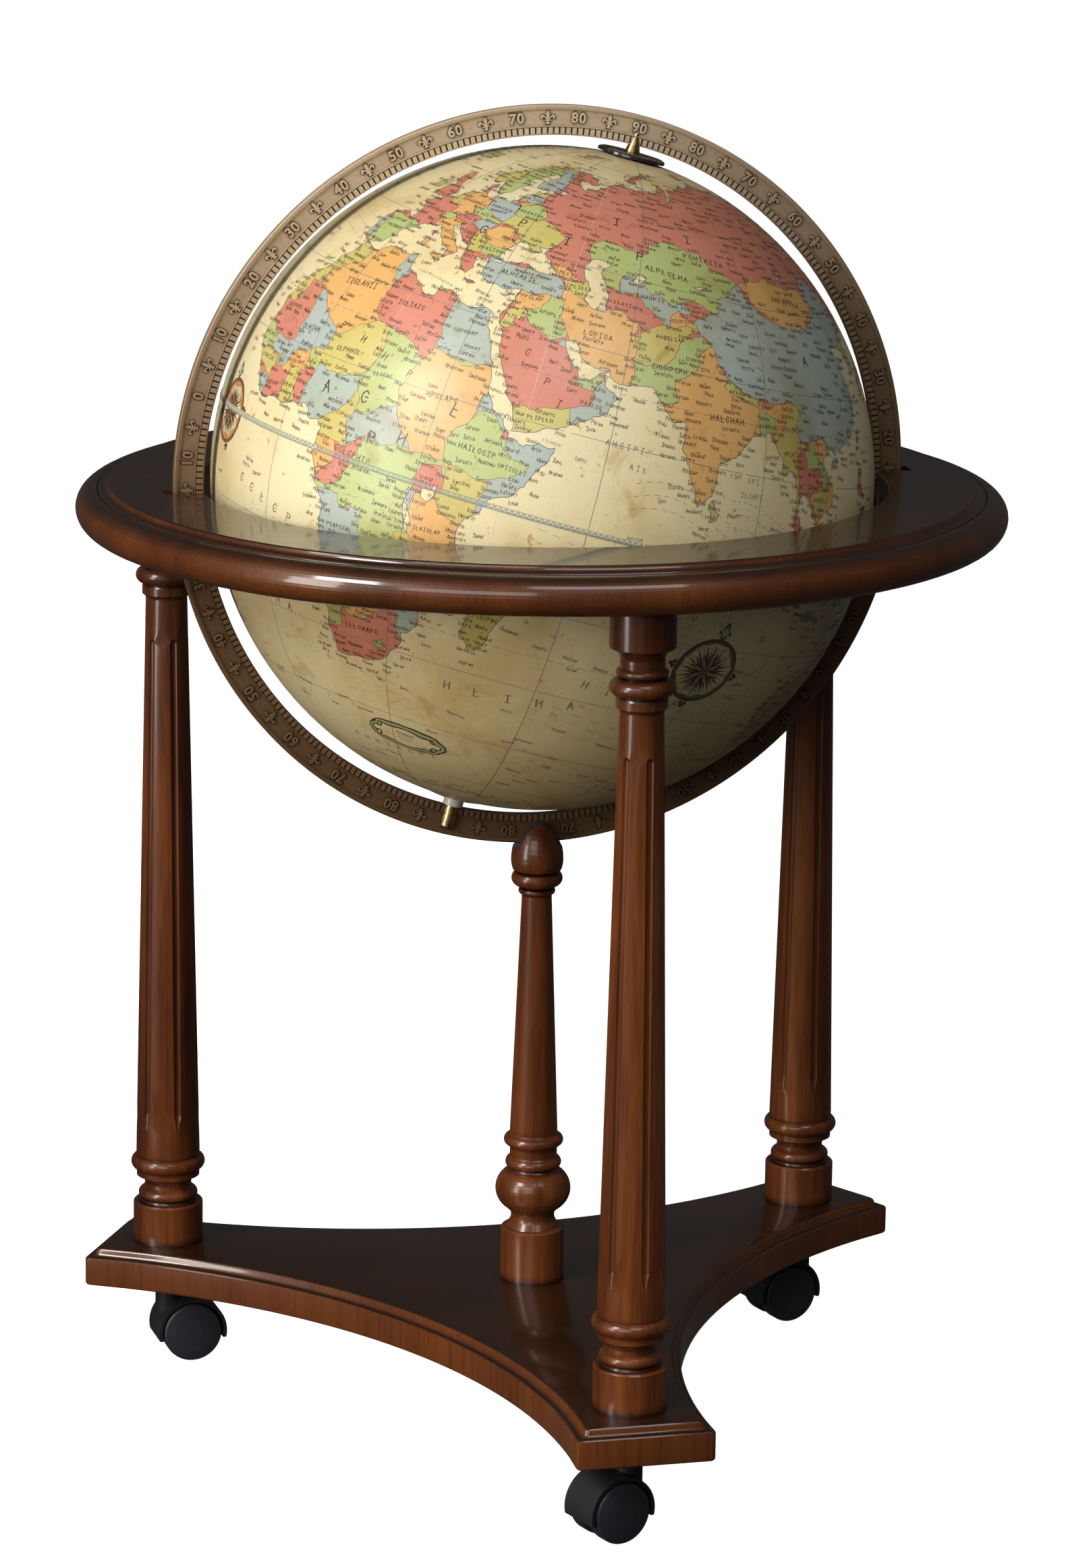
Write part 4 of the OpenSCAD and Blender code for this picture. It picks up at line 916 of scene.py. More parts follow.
def arc_points(lons, lats):
    """Unit vectors towards places on the map."""
    return [sphere_point(lon, lat, 1 / MM) for lon, lat in zip(lons, lats)]


def draw_graticule(page):
    """Meridians and parallels, pale along the gores' joints, and the dashed tropics and polar circles."""
    lats = [i * 2.0 for i in range(-43, 44)]
    for lon in range(-180, 180, 15):
        seam = (lon - GORE_START) % GORE == 0
        ink, width = ("pale", 0.24) if seam else ("line", 0.32)
        page.chain(ink, arc_points([lon] * len(lats), lats), width, LINE_LEVEL)
    for lat in list(range(-75, 0, 15)) + list(range(15, 90, 15)):
        page.chain("line", arc_points(range(-180, 183, 3), [lat] * 121), 0.28, LINE_LEVEL)
    for lat in (-66.5, -23.4, 23.4, 66.5):
        for i in range(0, 360, 2):
            page.line("line", *arc_points((i, i + 1.1), (lat, lat)), 0.26, LINE_LEVEL)


# Pen strokes of made-up letters, in a box one unit high
GLYPHS = [
    [[(0, 0), (0, 0.7)], [(0, 0.5), (0.2, 0.7), (0.42, 0.5), (0.42, 0.1)]],
    [[(0.4, 0.55), (0.2, 0.7), (0, 0.35), (0.2, 0), (0.4, 0.1), (0.4, 0.35)]],
    [[(0.1, 0), (0.1, 1.0)], [(0, 0.7), (0.3, 0.7)]],
    [[(0, 0.35), (0.4, 0.4), (0.3, 0.7), (0.05, 0.6)], [(0.1, 0.2), (0.35, 0)]],
    [[(0, 0.7), (0.2, 0), (0.4, 0.7)], [(0.15, 0.35), (0.42, 0.35)]],
    [[(0.05, 0), (0.05, 0.7)], [(0.05, 0.55), (0.35, 0.68)]],
    [[(0, 0.6), (0.15, 0.7), (0.38, 0.5), (0.38, 0)], [(0.38, 0.3), (0.1, 0.3), (0, 0.1), (0.3, 0)]],
    [[(0, 0.7), (0, 0.1), (0.2, 0), (0.42, 0.15)], [(0.42, 0), (0.42, 0.7)]],
]
CAPITALS = [
    [[(0, 0), (0, 1)], [(0, 1), (0.5, 0.9), (0.5, 0.55), (0, 0.5)]],
    [[(0.6, 0.8), (0.35, 1), (0.05, 0.75), (0.05, 0.3), (0.3, 0), (0.6, 0.2)], [(0.35, 0.5), (0.6, 0.5)]],
    [[(0, 0), (0.3, 1), (0.6, 0)], [(0.05, 0.55), (0.35, 0.35)]],
    [[(0, 0), (0, 1)], [(0.55, 0), (0.55, 1)], [(0, 0.3), (0.55, 0.7)]],
    [[(0, 1), (0.55, 1)], [(0.28, 1), (0.28, 0)], [(0.1, 0), (0.5, 0)]],
    [[(0, 0), (0, 1)], [(0, 0), (0.5, 0)], [(0, 0.55), (0.35, 0.55)]],
]


# Spacing of letters, as a share of their height
CAPITAL_STEP = 0.78
SMALL_STEP = 0.60

# Heights of letters in millimetres: least and greatest on countries, then the small names
COUNTRY_LETTERS = (2.4, 3.7)
TOWN_LETTER = 2.5
COAST_LETTER = 2.4

# Places tried for small names, the degrees a country spans to get a name, and how far coast names reach
LAND_TRIES = 16000
SEA_TRIES = 12000
NARROWEST = 3.2
COAST_REACH = 3.6


def word(page, spot, letters, height, dice, ink="text", spaced=1.0, capitals=False, pen=0.10):
    """A run of made-up letters that spells nothing."""
    step = height * (CAPITAL_STEP if capitals else SMALL_STEP) * spaced
    left = -letters * step / 2
    for i in range(letters):
        for stroke in dice.choice(CAPITALS if capitals or i == 0 else GLYPHS):
            line = [(left + i * step + x * height, (y - 0.4) * height) for x, y in stroke]
            spot.path(page, ink, height * pen, line)


def draw_words(page, verts, tris, owner, kinds):
    """Names: one over each country, small ones inside the land and in rows along the coasts and islands."""
    dice = random.Random(7)
    middles = verts[tris].mean(axis=1)
    taken = np.zeros((0, 4))

    def free(lon, lat, wide, high):
        """True, and taken from now on, if a box of that size in degrees of arc is clear."""
        nonlocal taken
        if len(taken):
            scale = math.cos(math.radians(lat))
            aside = abs(taken[:, 0] - lon) * scale < (taken[:, 2] + wide) / 2
            level = abs(taken[:, 1] - lat) < (taken[:, 3] + high) / 2
            if (aside & level).any():
                return False
        taken = np.vstack([taken, (lon, lat, wide, high)])
        return True

    for lon, lat, letters, height, turn, spread in REGIONS:
        word(page, Spot(lon, lat, turn), letters, height, dice, "text", spread, True, 0.10)
        free(lon, lat, 6, 2)
    for lon, lat, letters, height, turn, spread in SEAS:
        word(page, Spot(lon, lat, turn), letters, height, dice, "sea_text", spread, True, 0.09)
        free(lon, lat, letters * height * CAPITAL_STEP * spread / DEGREE, 2.5)
    for number, (_, tint, name) in enumerate(kinds):
        mine = middles[owner == number]
        if len(mine) < 12 or tint == "w":
            continue
        lon, lat = mine.mean(axis=0)
        span = np.ptp(mine[:, 0]) * math.cos(math.radians(lat))
        if span < NARROWEST:
            continue
        letters = max(4, min(8, len(name)))
        height = min(COUNTRY_LETTERS[1], max(COUNTRY_LETTERS[0], span * 0.22))
        if free(lon, lat, letters * height * 0.94 / DEGREE, height / 3.0):
            spot = Spot(lon, lat, dice.uniform(-6, 6))
            word(page, spot, letters, height, dice, "text", 1.2, True, 0.11)
    land_middles = middles[owner >= 0]
    sea_middles = middles[owner < 0]
    for _ in range(LAND_TRIES):
        lon, lat = land_middles[dice.randrange(len(land_middles))]
        letters = dice.randint(4, 8)
        if lat < -60 or not free(lon, lat, letters * 0.42 + 0.3, 0.92):
            continue
        spot = Spot(lon, lat, dice.uniform(-3, 3))
        word(page, spot, letters, TOWN_LETTER, dice)
        if dice.random() < 0.3:
            spot.shape(page, "text", MARK_LEVEL, [(-0.4, 1.5), (0.3, 1.5), (0.3, 2.2), (-0.4, 2.2)])
    for _ in range(SEA_TRIES):
        lon, lat = sea_middles[dice.randrange(len(sea_middles))]
        near_land = np.min(np.hypot(*(land_middles - (lon, lat)).T)) < COAST_REACH
        letters = dice.randint(4, 8)
        if abs(lat) > 74 or (not near_land and dice.random() < 0.93):
            continue
        if free(lon, lat, letters * 0.42 + 0.3, 0.95):
            ink = "text" if near_land else "sea_text"
            word(page, Spot(lon, lat, dice.uniform(-9, 9)), letters, COAST_LETTER, dice, ink)


# Wide-spread names over regions and oceans: place, number of letters, height, slope and spread
CONTINENT = [(8, 10, 8), (16.5, 10.5, 0), (26, 6, -6), (33.5, 13, -10), (20.5, 4.5, 0)]
NORTH_LETTERS = [(60, 50), (75, 57), (92, 50), (104, 36), (41, 49), (28, 50), (52, 57), (20, 46)]
DESERT_LETTERS = [(-1, 21.5), (5, 20.5), (11, 19.5), (17, 18), (23, 16.5), (42, 26), (47, 22), (50, 19)]
REGIONS = (
    [(lon, lat, 1, 7.5, slope, 1.0) for lon, lat, slope in CONTINENT]
    + [(lon, lat, 1, 6.5, 0, 1.0) for lon, lat in NORTH_LETTERS]
    + [(lon, lat, 1, 4.5, -12, 1.0) for lon, lat in DESERT_LETTERS]
    + [(-100, 45, 5, 6.0, 0, 3.0), (-58, -10, 5, 6.0, -20, 2.5), (134, -25, 7, 6.0, 0, 2.2)]
)
SEAS = [
    (63, 15, 6, 3.4, 0, 1.6), (66, 12, 3, 3.4, 0, 1.6), (88, 14, 3, 3.0, 0, 1.4), (88, 11.5, 6, 3.0, 0, 1.2),
    (75, -10, 6, 6.0, 0, 2.8), (58, -33, 5, 6.0, 8, 4.0), (80, -27, 5, 5.5, 0, 3.6),
    (0, -12, 5, 5.5, -12, 3.2), (-5, -28, 8, 5.5, -10, 2.6), (-40, 30, 8, 5.5, 0, 2.6),
    (-150, 0, 7, 6.0, 0, 3.6), (-155, 25, 5, 5.5, 0, 3.2), (-120, -30, 7, 5.5, 0, 3.2),
    (160, 20, 7, 5.5, 0, 2.6), (50.5, 12.6, 7, 1.7, -4, 1.2), (18, 34, 12, 1.8, -8, 1.6),
    (35, 43, 7, 1.8, -4, 1.5), (30, -55, 8, 4.0, 4, 2.4), (115, -40, 8, 4.0, 0, 2.6),
]

# Ocean currents: longitude and latitude of the start, and length in degrees
STREAMS = [
    (52, -8, 30), (70, -18, 34), (60, -38, 50), (90, -43, 46), (66, 3, 20), (84, 4, 14), (-12, -22, 26),
    (-30, 15, 28), (-45, 35, 40), (-150, 12, 60), (-160, -12, 60), (170, 32, 50), (-120, -40, 60),
    (20, -46, 40), (-130, 38, 30), (-95, -25, 24), (88, -30, 20), (58, -52, 44), (10, -8, 22),
]


def draw_currents(page):
    """Dashed flow lines with arrow heads over the oceans."""
    dice = random.Random(21)
    for lon, lat, length in STREAMS:
        bend, phase = dice.uniform(2, 5), dice.uniform(0, 3)
        for row in range(3):
            path = []
            for t in np.linspace(0, 1, 24):
                path.append((lon + t * length, lat + row * 2.2 + bend * math.sin(phase + 3 * t)))
            ends = arc_points(*zip(*path))
            for i in range(0, 22, 2):
                page.line("line", ends[i], ends[i + 1], 0.22, FLOW_LEVEL)
            tip = ends[-1]
            away = (tip - ends[-2]).normalized()
            side = tip.cross(away)
            for s in (-1, 1):
                barb = (tip - away * 0.008 + side * s * 0.004).normalized()
                page.line("line", tip, barb, 0.22, FLOW_LEVEL)


def draw_equator(page):
    """Double dashed band on the tape along the equator, between two thin lines."""
    for i in range(720):
        lon = i * 0.5
        row = 0.55 if i % 2 == 0 else -0.55
        lat = math.degrees(row / BALL_R)
        page.line("band", *arc_points((lon, lon + 0.5), (lat, lat)), 0.75, BAND_LEVEL)
    for away in (-1.35, 1.35):
        page.chain("band", arc_points(range(361), [math.degrees(away / BALL_R)] * 361), 0.3, BAND_LEVEL)


# Right half of the lily on the compass rose, in millimetres up from its foot
FLEUR = [
    (0, 10.5), (1.5, 7.6), (2.0, 5.8), (1.3, 3.9), (0.7, 3.0), (2.6, 4.6), (3.9, 4.5), (4.3, 3.3), (3.7, 2.3),
    (3.0, 2.6), (3.1, 3.3), (1.9, 2.7), (1.0, 1.7), (2.2, 1.5), (2.2, 0.7), (0.9, 0.5), (1.4, -1.2),
]


def mirrored(half):
    """A whole outline from its right half."""
    return half + [(-x, y) for x, y in reversed(half) if x > 0]


def draw_rose(page, lon, lat, turn, size, ground, warm, cool):
    """Compass rose: a rimmed disc with long dark rays, two-tone stars over them, a lily and three leaves."""
    spot = Spot(lon, lat, turn)

    def turned(points, angle):
        c, s = math.cos(angle), math.sin(angle)
        return [(x * c - y * s, x * s + y * c) for x, y in points]

    rims = ((0.955, 1.0, "text"), (0.925, 0.955, "rose_rim"), (0.895, 0.925, "text"))
    for a, b in sides_of(circle(size, 72)):
        spot.shape(page, ground, BORDER_LEVEL, [(0, 0), a, b])
        for inner, outer, ink in rims:
            corners = ((a, inner), (b, inner), (b, outer), (a, outer))
            spot.shape(page, ink, MARK_LEVEL, [(x * share, y * share) for (x, y), share in corners])
    # Count, reach, half width, ink of the left and right half, offset in steps
    stars = [
        (16, 0.86, 0.055, "text", "text", 0.0),
        (16, 0.74, 0.045, "text", "text", 0.5),
        (16, 0.60, 0.070, warm, "text", 0.25),
        (8, 0.56, 0.105, "text", cool, 0.0),
        (8, 0.34, 0.085, warm, "text", 0.5),
    ]
    for rank, (count, reach, width, left_ink, right_ink, offset) in enumerate(stars):
        level = 0.15 + rank * 0.03
        for i in range(count):
            angle = math.tau * (i + offset) / count
            for side, ink in ((-1, left_ink), (1, right_ink)):
                half = [(0, 0), (side * size * width, size * 0.20), (0, size * reach)]
                spot.shape(page, ink, level, turned(half[::side], angle))
    for share, ink, level in ((1.0, "text", 0.31), (0.72, ground, 0.33), (0.4, "text", 0.35)):
        spot.shape(page, ink, level, circle(size * 0.11 * share, 24))
    scale = size / 20
    for share, ink, level in ((1.0, "text", MARK_LEVEL), (0.62, "rose_pale", 0.15)):
        lily = [(x * share * scale, size * 1.02 + (4 + (y - 4) * share) * scale) for x, y in mirrored(FLEUR)]
        for a, b in sides_of(lily):
            spot.shape(page, ink, level, [(0, size * 1.2), a, b])
    for quarter in (1, 2, 3):
        for x, y in ((0, 1.18), (-0.07, 1.08), (0.07, 1.08)):
            leaf = circle(size * 0.06, 12, (size * x, size * y))
            spot.shape(page, "text", MARK_LEVEL, turned(leaf, quarter * math.pi / 2))


def draw_cartouche(page, lon, lat, turn):
    """Scrolled oval frame with small lines of marks inside."""
    spot = Spot(lon, lat, turn)
    wide, tall = 22.5, 9.6

    def frame_line(away, steps=120):
        """The scrolled oval, moved outwards by a share of the frame's swelling half thickness."""
        out = []
        for a in np.linspace(0, math.tau, steps + 1)[:-1]:
            lobe = 1 + 0.05 * math.cos(8 * a) + 0.03 * math.cos(3 * a + 0.6)
            half = 1.3 + 1.0 * max(0.0, math.sin(a + 0.5)) + 0.8 * abs(math.sin(4 * a))
            x = wide * lobe * math.copysign(abs(math.cos(a)) ** 0.75, math.cos(a))
            y = tall * lobe * math.copysign(abs(math.sin(a)) ** 0.75, math.sin(a))
            normal = Vector((math.cos(a) / wide, math.sin(a) / tall)).normalized()
            out.append((x + normal.x * half * away, y + normal.y * half * away))
        return out

    for ink, level, reach in (("text", MARK_LEVEL, 1.0), ("cartouche_green", 0.15, 0.45)):
        for (a, b), (c, d) in zip(sides_of(frame_line(-reach)), sides_of(frame_line(reach))):
            spot.shape(page, ink, level, [a, b, d, c])
    for side in (-1, 1):
        for low in (-1, 1):
            curl = []
            for t in np.linspace(0, 1, 22):
                a, r = 5.4 * t, 4.0 * (1 - 0.72 * t)
                x, y = wide * 0.93 - 2.5 + r * math.cos(a), tall * 0.42 + r * math.sin(a)
                curl.append((side * x, low * y))
            spot.path(page, "text", 0.95, curl)
    for side in (-1, 1):
        curl = []
        for a in np.linspace(0, math.pi, 14):
            curl.append((side * (5 + 3.2 * math.cos(a)), tall + 0.4 + 1.6 * abs(math.sin(a))))
        spot.path(page, "text", 0.95, curl)
    dice = random.Random(3)
    for row, (letters, height) in enumerate(((10, 2.0), (16, 0.95), (19, 0.95), (14, 0.95))):
        line = Spot(lon, lat, turn)
        line.up = line.at(0, 3.6 - row * 2.3)
        word(page, line, letters, height, dice)


INKS = {
    "coast": (0.12, 0.17, 0.19),
    "border": (0.20, 0.12, 0.07),
    "line": (0.14, 0.18, 0.19),
    "pale": (0.74, 0.60, 0.42),
    "text": (0.075, 0.045, 0.028),
    "sea_text": (0.15, 0.17, 0.16),
    "band": (0.24, 0.32, 0.30),
    "rose_rim": (0.26, 0.15, 0.06),
    "rose_pale": (0.50, 0.55, 0.36),
    "rose_green": (0.21, 0.27, 0.085),
    "rose_orange": (0.60, 0.25, 0.09),
    "rose_red": (0.40, 0.11, 0.06),
    "rose_blue": (0.34, 0.38, 0.28),
    "cartouche_green": (0.40, 0.42, 0.18),
}


def build_map():
    verts, tris, owner, kinds = solve_map()
    build_gores(verts, tris, owner, kinds)
    page = Print()
    draw_graticule(page)
    draw_borders(page, verts, tris, owner)
    draw_currents(page)
    draw_words(page, verts, tris, owner, kinds)
    draw_equator(page)
    draw_rose(page, 90.0, -19.4, -4, 22.5, "rose_green", "rose_orange", "rose_blue")
    draw_rose(page, -19.5, -0.5, 10, 20.0, "rose_orange", "rose_red", "rose_blue")
    draw_cartouche(page, 33.6, -50.6, -4)
    page.build({name: ink_material(f"ink_{name}", colour) for name, colour in INKS.items()}, "ball")
    build_tape(verts, tris, owner, kinds)


def build_tape(verts, tris, owner, kinds):
    """Paper tape over the joint of the ball's halves, printed to match the map under it."""
    middles = verts[tris].mean(axis=1)
    beside = np.where(abs(middles[:, 1]) < 4)[0]
    half = math.degrees(TAPE_W / 2 / BALL_R)
    steps = 720
    lons = np.linspace(-180, 180, steps + 1)[:-1]
    points, faces, shades = [], [], []
    for lat, lift in ((-half, TAPE_EDGE_LIFT), (-half, TAPE_LIFT), (half, TAPE_LIFT), (half, TAPE_EDGE_LIFT)):
        points += [TO_MERIDIAN @ sphere_point(lon, lat, BALL_R + lift) for lon in lons]
    for i, lon in enumerate(lons):
        nearest = beside[np.argmin(np.hypot(middles[beside, 0] - lon, middles[beside, 1]))]
        shade = (*(c * TAPE_TONE for c in tint_of(owner[nearest], kinds)), 1.0)
        j = (i + 1) % steps
        for row in range(3):
            low, high = row * steps, (row + 1) * steps
            faces.append((low + i, low + j, high + j, high + i))
            shades += [shade] * 4
    tape = new_mesh("equator_paper", points, faces, ball_material("map_tape"), True)
    paint(tape, shades)
    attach(tape, "ball")
    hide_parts("equator_tape")


# ---------------------------------------------------------------- wood and bronze shapes

BASE_LOW = 56.4
FOOT_REACH = 279.5
SIDE_R = 419.0
SIDE_IN = 105.0
RECESS_R = 11.5
RECESS_DEEP = 9.0
RECESS_STEPS = 48
CORNER_ROOM = 3.6

# The base plate's edge, from the underside round to the top: growth past the top face, height
BASE_EDGE = [
    (5.0, 0), (6.3, 0.5), (6.9, 1.4), (7, 2.6), (7, 17.4), (6.85, 18.2), (6.3, 18.8), (5.5, 18.9),
    (4.9, 18.5), (4.3, 18.5), (3.2, 18.9), (2.2, 19.8), (1.6, 21.0), (1.4, 22.4), (1.0, 23.2), (0.4, 23.8),
    (-0.4, 24),
]


def base_loop(grow, steps=44):
    """Outline of the base plate, grown by some millimetres, with softened corners."""
    centre_at, radius, flat = SIDE_IN + SIDE_R, SIDE_R - grow, FOOT_REACH + grow
    loop = []
    for turn in (-150, -30, 90):
        mid = math.radians(turn)
        centre = Vector((math.cos(mid), math.sin(mid))) * centre_at
        foot = Vector((math.cos(mid - math.pi / 3), math.sin(mid - math.pi / 3)))
        across = Vector((-foot.y, foot.x))
        offset = centre.dot(foot) - flat
        half = centre.dot(across) - math.sqrt(radius**2 - offset**2)
        corner = foot * flat + across * half
        spread = (corner - centre).angle(-centre)
        arc = []
        for i in range(steps + 1):
            a = mid + math.pi + spread * (1 - 2 * i / steps)
            arc.append(centre + Vector((math.cos(a), math.sin(a))) * radius)
        loop.append(arc)
    out = []
    for k in range(3):
        arc, after = loop[k], loop[(k + 1) % 3]
        out += soften(loop[k - 1][-1], arc[0], arc[1]) + arc[2:-2] + soften(arc[-2], arc[-1], after[0])
    return out


def soften(before, corner, after):
    """Five points that round a corner off."""
    start = corner + (before - corner).normalized() * CORNER_ROOM
    end = corner + (after - corner).normalized() * CORNER_ROOM
    points = []
    for i in range(5):
        t = i / 4
        points.append(start * (1 - t) ** 2 + corner * 2 * t * (1 - t) + end * t**2)
    return points


def bridge(verts, faces, loops):
    """Joins closed loops of equal length with quads."""
    first = len(verts)
    for loop in loops:
        verts += [tuple(v) for v in loop]
    n = len(loops[0])
    for row in range(len(loops) - 1):
        for i in range(n):
            a, b = first + row * n + i, first + row * n + (i + 1) % n
            faces.append((a, b, b + n, a + n))


def build_base_plate():
    """The moulded plate, with the round recess of the spindle's bolt in its underside."""
    loops = [[Vector((p.x, p.y, BASE_LOW + z)) * MM for p in base_loop(grow)] for grow, z in BASE_EDGE]
    verts, faces = [], []
    bridge(verts, faces, loops)
    n = len(loops[0])
    faces.append(tuple(range(len(verts) - n, len(verts))))
    edge = [v.to_2d() for v in loops[0]]
    rim = [Vector(p) * MM for p in circle(RECESS_R, RECESS_STEPS)]
    joins = [(n + i, n + (i + 1) % RECESS_STEPS) for i in range(RECESS_STEPS)]
    cut = delaunay_2d_cdt(edge + rim, joins, [list(range(n))], 1, 1e-7, False)
    first = len(verts)
    verts += [(v.x, v.y, BASE_LOW * MM) for v in cut[0]]
    corners = np.array([(v.x, v.y) for v in cut[0]])
    middles = corners[np.array([tuple(t) for t in cut[2]])].mean(axis=1)
    inside = within(middles, np.array([(v.x, v.y) for v in edge]))
    for tri, middle, kept in zip(cut[2], middles, inside):
        if kept and math.hypot(*middle) > RECESS_R * MM * 0.999:
            faces.append(tuple(first + i for i in reversed(tri)))
    bridge(verts, faces, [[Vector((p.x, p.y, (BASE_LOW + z) * MM)) for p in rim] for z in (0, RECESS_DEEP)])
    faces.append(tuple(range(len(verts) - RECESS_STEPS, len(verts))))
    obj = new_mesh("base_plate_moulded", verts, faces, mat_base, True)
    crease(obj, 28)
    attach(obj, "stand")
    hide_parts("base_plate")


def crease(obj, angle):
    """Joins doubled points and shades edges sharper than the angle, in degrees, as creases."""
    bm = bmesh.new()
    bm.from_mesh(obj.data)
    bmesh.ops.remove_doubles(bm, verts=bm.verts, dist=1e-6)
    bmesh.ops.recalc_face_normals(bm, faces=bm.faces)
    limit = math.radians(angle)
    for edge in bm.edges:
        edge.smooth = len(edge.link_faces) == 2 and edge.calc_face_angle(0) < limit
    bm.to_mesh(obj.data)
    bm.free()


RING_IN = 210.9
RING_OUT = 229.3
FACE = 1.6
FIELD = FACE - 0.4
MARK_R = 221.4
LILY_R = 221.3
CELL_R = 213.65
CELL_START = 14.5

# The meridian ring's section: radius and distance in front of the polar axis
RING_SECTION = [
    (RING_IN, -3.0), (RING_IN + 0.4, -3.4), (RING_OUT - 0.4, -3.4), (RING_OUT, -3.0), (RING_OUT, 1.7),
    (RING_OUT - 0.25, 2.1), (RING_OUT - 0.8, 2.25), (226.9, 2.2), (226.45, 2.0), (226.2, 1.5),
    (225.9, FACE - 0.35), (225.2, FIELD), (217.3, FIELD), (216.9, FACE - 0.3), (216.7, 1.9), (216.3, 2.05),
    (215.9, 1.9), (215.7, FACE - 0.25), (215.3, FACE - 0.35), (212.1, FACE - 0.35), (211.8, FACE - 0.2),
    (211.6, 1.75), (211.2, 1.8), (RING_IN, 1.55),
]

# Right half of the lily between two numbers, in millimetres from its middle
LILY = [
    (0, 4.9), (0.9, 3.5), (1.35, 2.2), (1.15, 1.0), (0.85, 0.3), (1.7, 1.3), (3.0, 2.1), (4.3, 1.7),
    (4.8, 0.4), (4.2, -0.8), (3.0, -0.8), (3.2, 0.3), (2.6, 0.4), (1.9, -0.2), (1.1, -0.8), (2.3, -1.0),
    (2.3, -2.0), (0.95, -1.8), (1.0, -2.9), (1.5, -3.9),
]


def ring_place(angle, radius, depth):
    """Frame on the ring's face: X along the ring, Y outwards from its centre, Z out of the face."""
    spin = Matrix.Translation(CENTRE) @ Matrix.Rotation(math.radians(angle), 4, "Y")
    outwards = Matrix.Translation((0, -depth * MM, radius * MM))
    return spin @ outwards @ Matrix.Rotation(math.pi / 2, 4, "X")


def gather(name, parts, mat, angle):
    """Joins (mesh data, placement) pairs into one object."""
    verts, faces = [], []
    for (points, polys), place in parts:
        first = len(verts)
        verts += [place @ Vector(p) for p in points]
        faces += [tuple(first + i for i in poly) for poly in polys]
    obj = new_mesh(name, verts, faces, mat, True)
    crease(obj, angle)
    return obj


def raised(ring, height, slope):
    """A raised flat shape with sloping sides, from its outline in millimetres."""
    n = len(ring)
    points = [(x * MM, y * MM, 0) for x, y in ring]
    points += [(x * MM, y * MM, height * MM) for x, y in grown(ring, -slope)]
    polys = [(i, (i + 1) % n, n + (i + 1) % n, n + i) for i in range(n)]
    polys.append(tuple(range(n, 2 * n)))
    return points, polys


def grown(ring, spread):
    """An outline with its corners pushed outwards by some millimetres."""
    out = []
    turn = 1 if area(ring) > 0 else -1
    for i, (x, y) in enumerate(ring):
        (ax, ay), (bx, by) = ring[i - 1], ring[(i + 1) % len(ring)]
        normal = Vector((by - ay, ax - bx)).normalized() * (spread * turn)
        out.append((x + normal.x, y + normal.y))
    return out


def numeral(text, size, height, spread):
    """A raised number, from the built-in typeface."""
    curve = bpy.data.curves.new("numeral", "FONT")
    curve.body = text
    curve.size = size * MM
    curve.extrude = height / 2 * MM
    curve.offset = spread * MM
    curve.bevel_depth = 0.12 * MM
    curve.bevel_resolution = 1
    curve.resolution_u = 4
    curve.space_character = 1.12
    curve.align_x = "CENTER"
    curve.align_y = "CENTER"
    holder = bpy.data.objects.new("numeral", curve)
    bpy.context.scene.collection.objects.link(holder)
    bpy.context.view_layer.update()
    mesh = bpy.data.meshes.new_from_object(holder.evaluated_get(bpy.context.evaluated_depsgraph_get()))
    data = ([tuple(v.co) for v in mesh.vertices], [tuple(p.vertices) for p in mesh.polygons])
    bpy.data.objects.remove(holder)
    bpy.data.curves.remove(curve)
    bpy.data.meshes.remove(mesh)
    return data


def build_meridian():
    """The cast ring, and its relief: numbers and lilies in the field, and a cell for each degree."""
    steps = 720
    loops = []
    for radius, front in RING_SECTION:
        angles = np.linspace(0, math.tau, steps + 1)[:-1]
        loop = [Vector((radius * math.sin(a), -front, radius * math.cos(a))) for a in angles]
        loops.append([CENTRE + v * MM for v in loop])
    verts, faces = [], []
    bridge(verts, faces, loops + loops[:1])
    ring = new_mesh("meridian_casting", verts, faces, mat_bronze, True)
    crease(ring, 50)
    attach(ring, "meridian")
    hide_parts("meridian_ring")

    def print_round(name, mat, spread, height, lift):
        """Numbers every ten degrees with a lily midway between them."""
        numbers = {v: numeral(str(v), 8.6, height, 0.16 + spread) for v in range(0, 100, 10)}
        lily = raised(grown(mirrored(LILY), spread), height, 0.16)
        parts = []
        for k in range(36):
            value = abs(90 - (10 * k) % 180)
            turn = math.degrees(TILT) + 10 * k
            parts.append((numbers[value], ring_place(turn, MARK_R, FIELD + height / 2 + lift)))
            parts.append((lily, ring_place(turn + 5, LILY_R, FIELD + lift)))
        return gather(name, parts, mat, 30)

    tile = raised([(-1.45, -2.05), (1.45, -2.05), (1.45, 2.0), (-1.45, 2.0)], 0.75, 0.14)
    tiles = [(tile, ring_place(CELL_START + k, CELL_R, FIELD)) for k in range(360)]
    bed = raised([(-1.85, -2.3), (1.85, -2.3), (1.85, 2.45), (-1.85, 2.45)], 0.12, 0.0)
    beds = [(bed, ring_place(CELL_START + k, CELL_R - 0.05, FIELD + 0.04)) for k in range(360)]
    made = [
        print_round("meridian_marks", mat_relief, 0.0, 0.8, 0.0),
        print_round("meridian_mark_edges", mat_shadow, 0.42, 0.1, 0.02),
        gather("meridian_scale", tiles, mat_relief, 30),
        gather("meridian_scale_bed", beds, mat_shadow, 30),
    ]
    for obj in made:
        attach(obj, "meridian")


# ---------------------------------------------------------------- stage

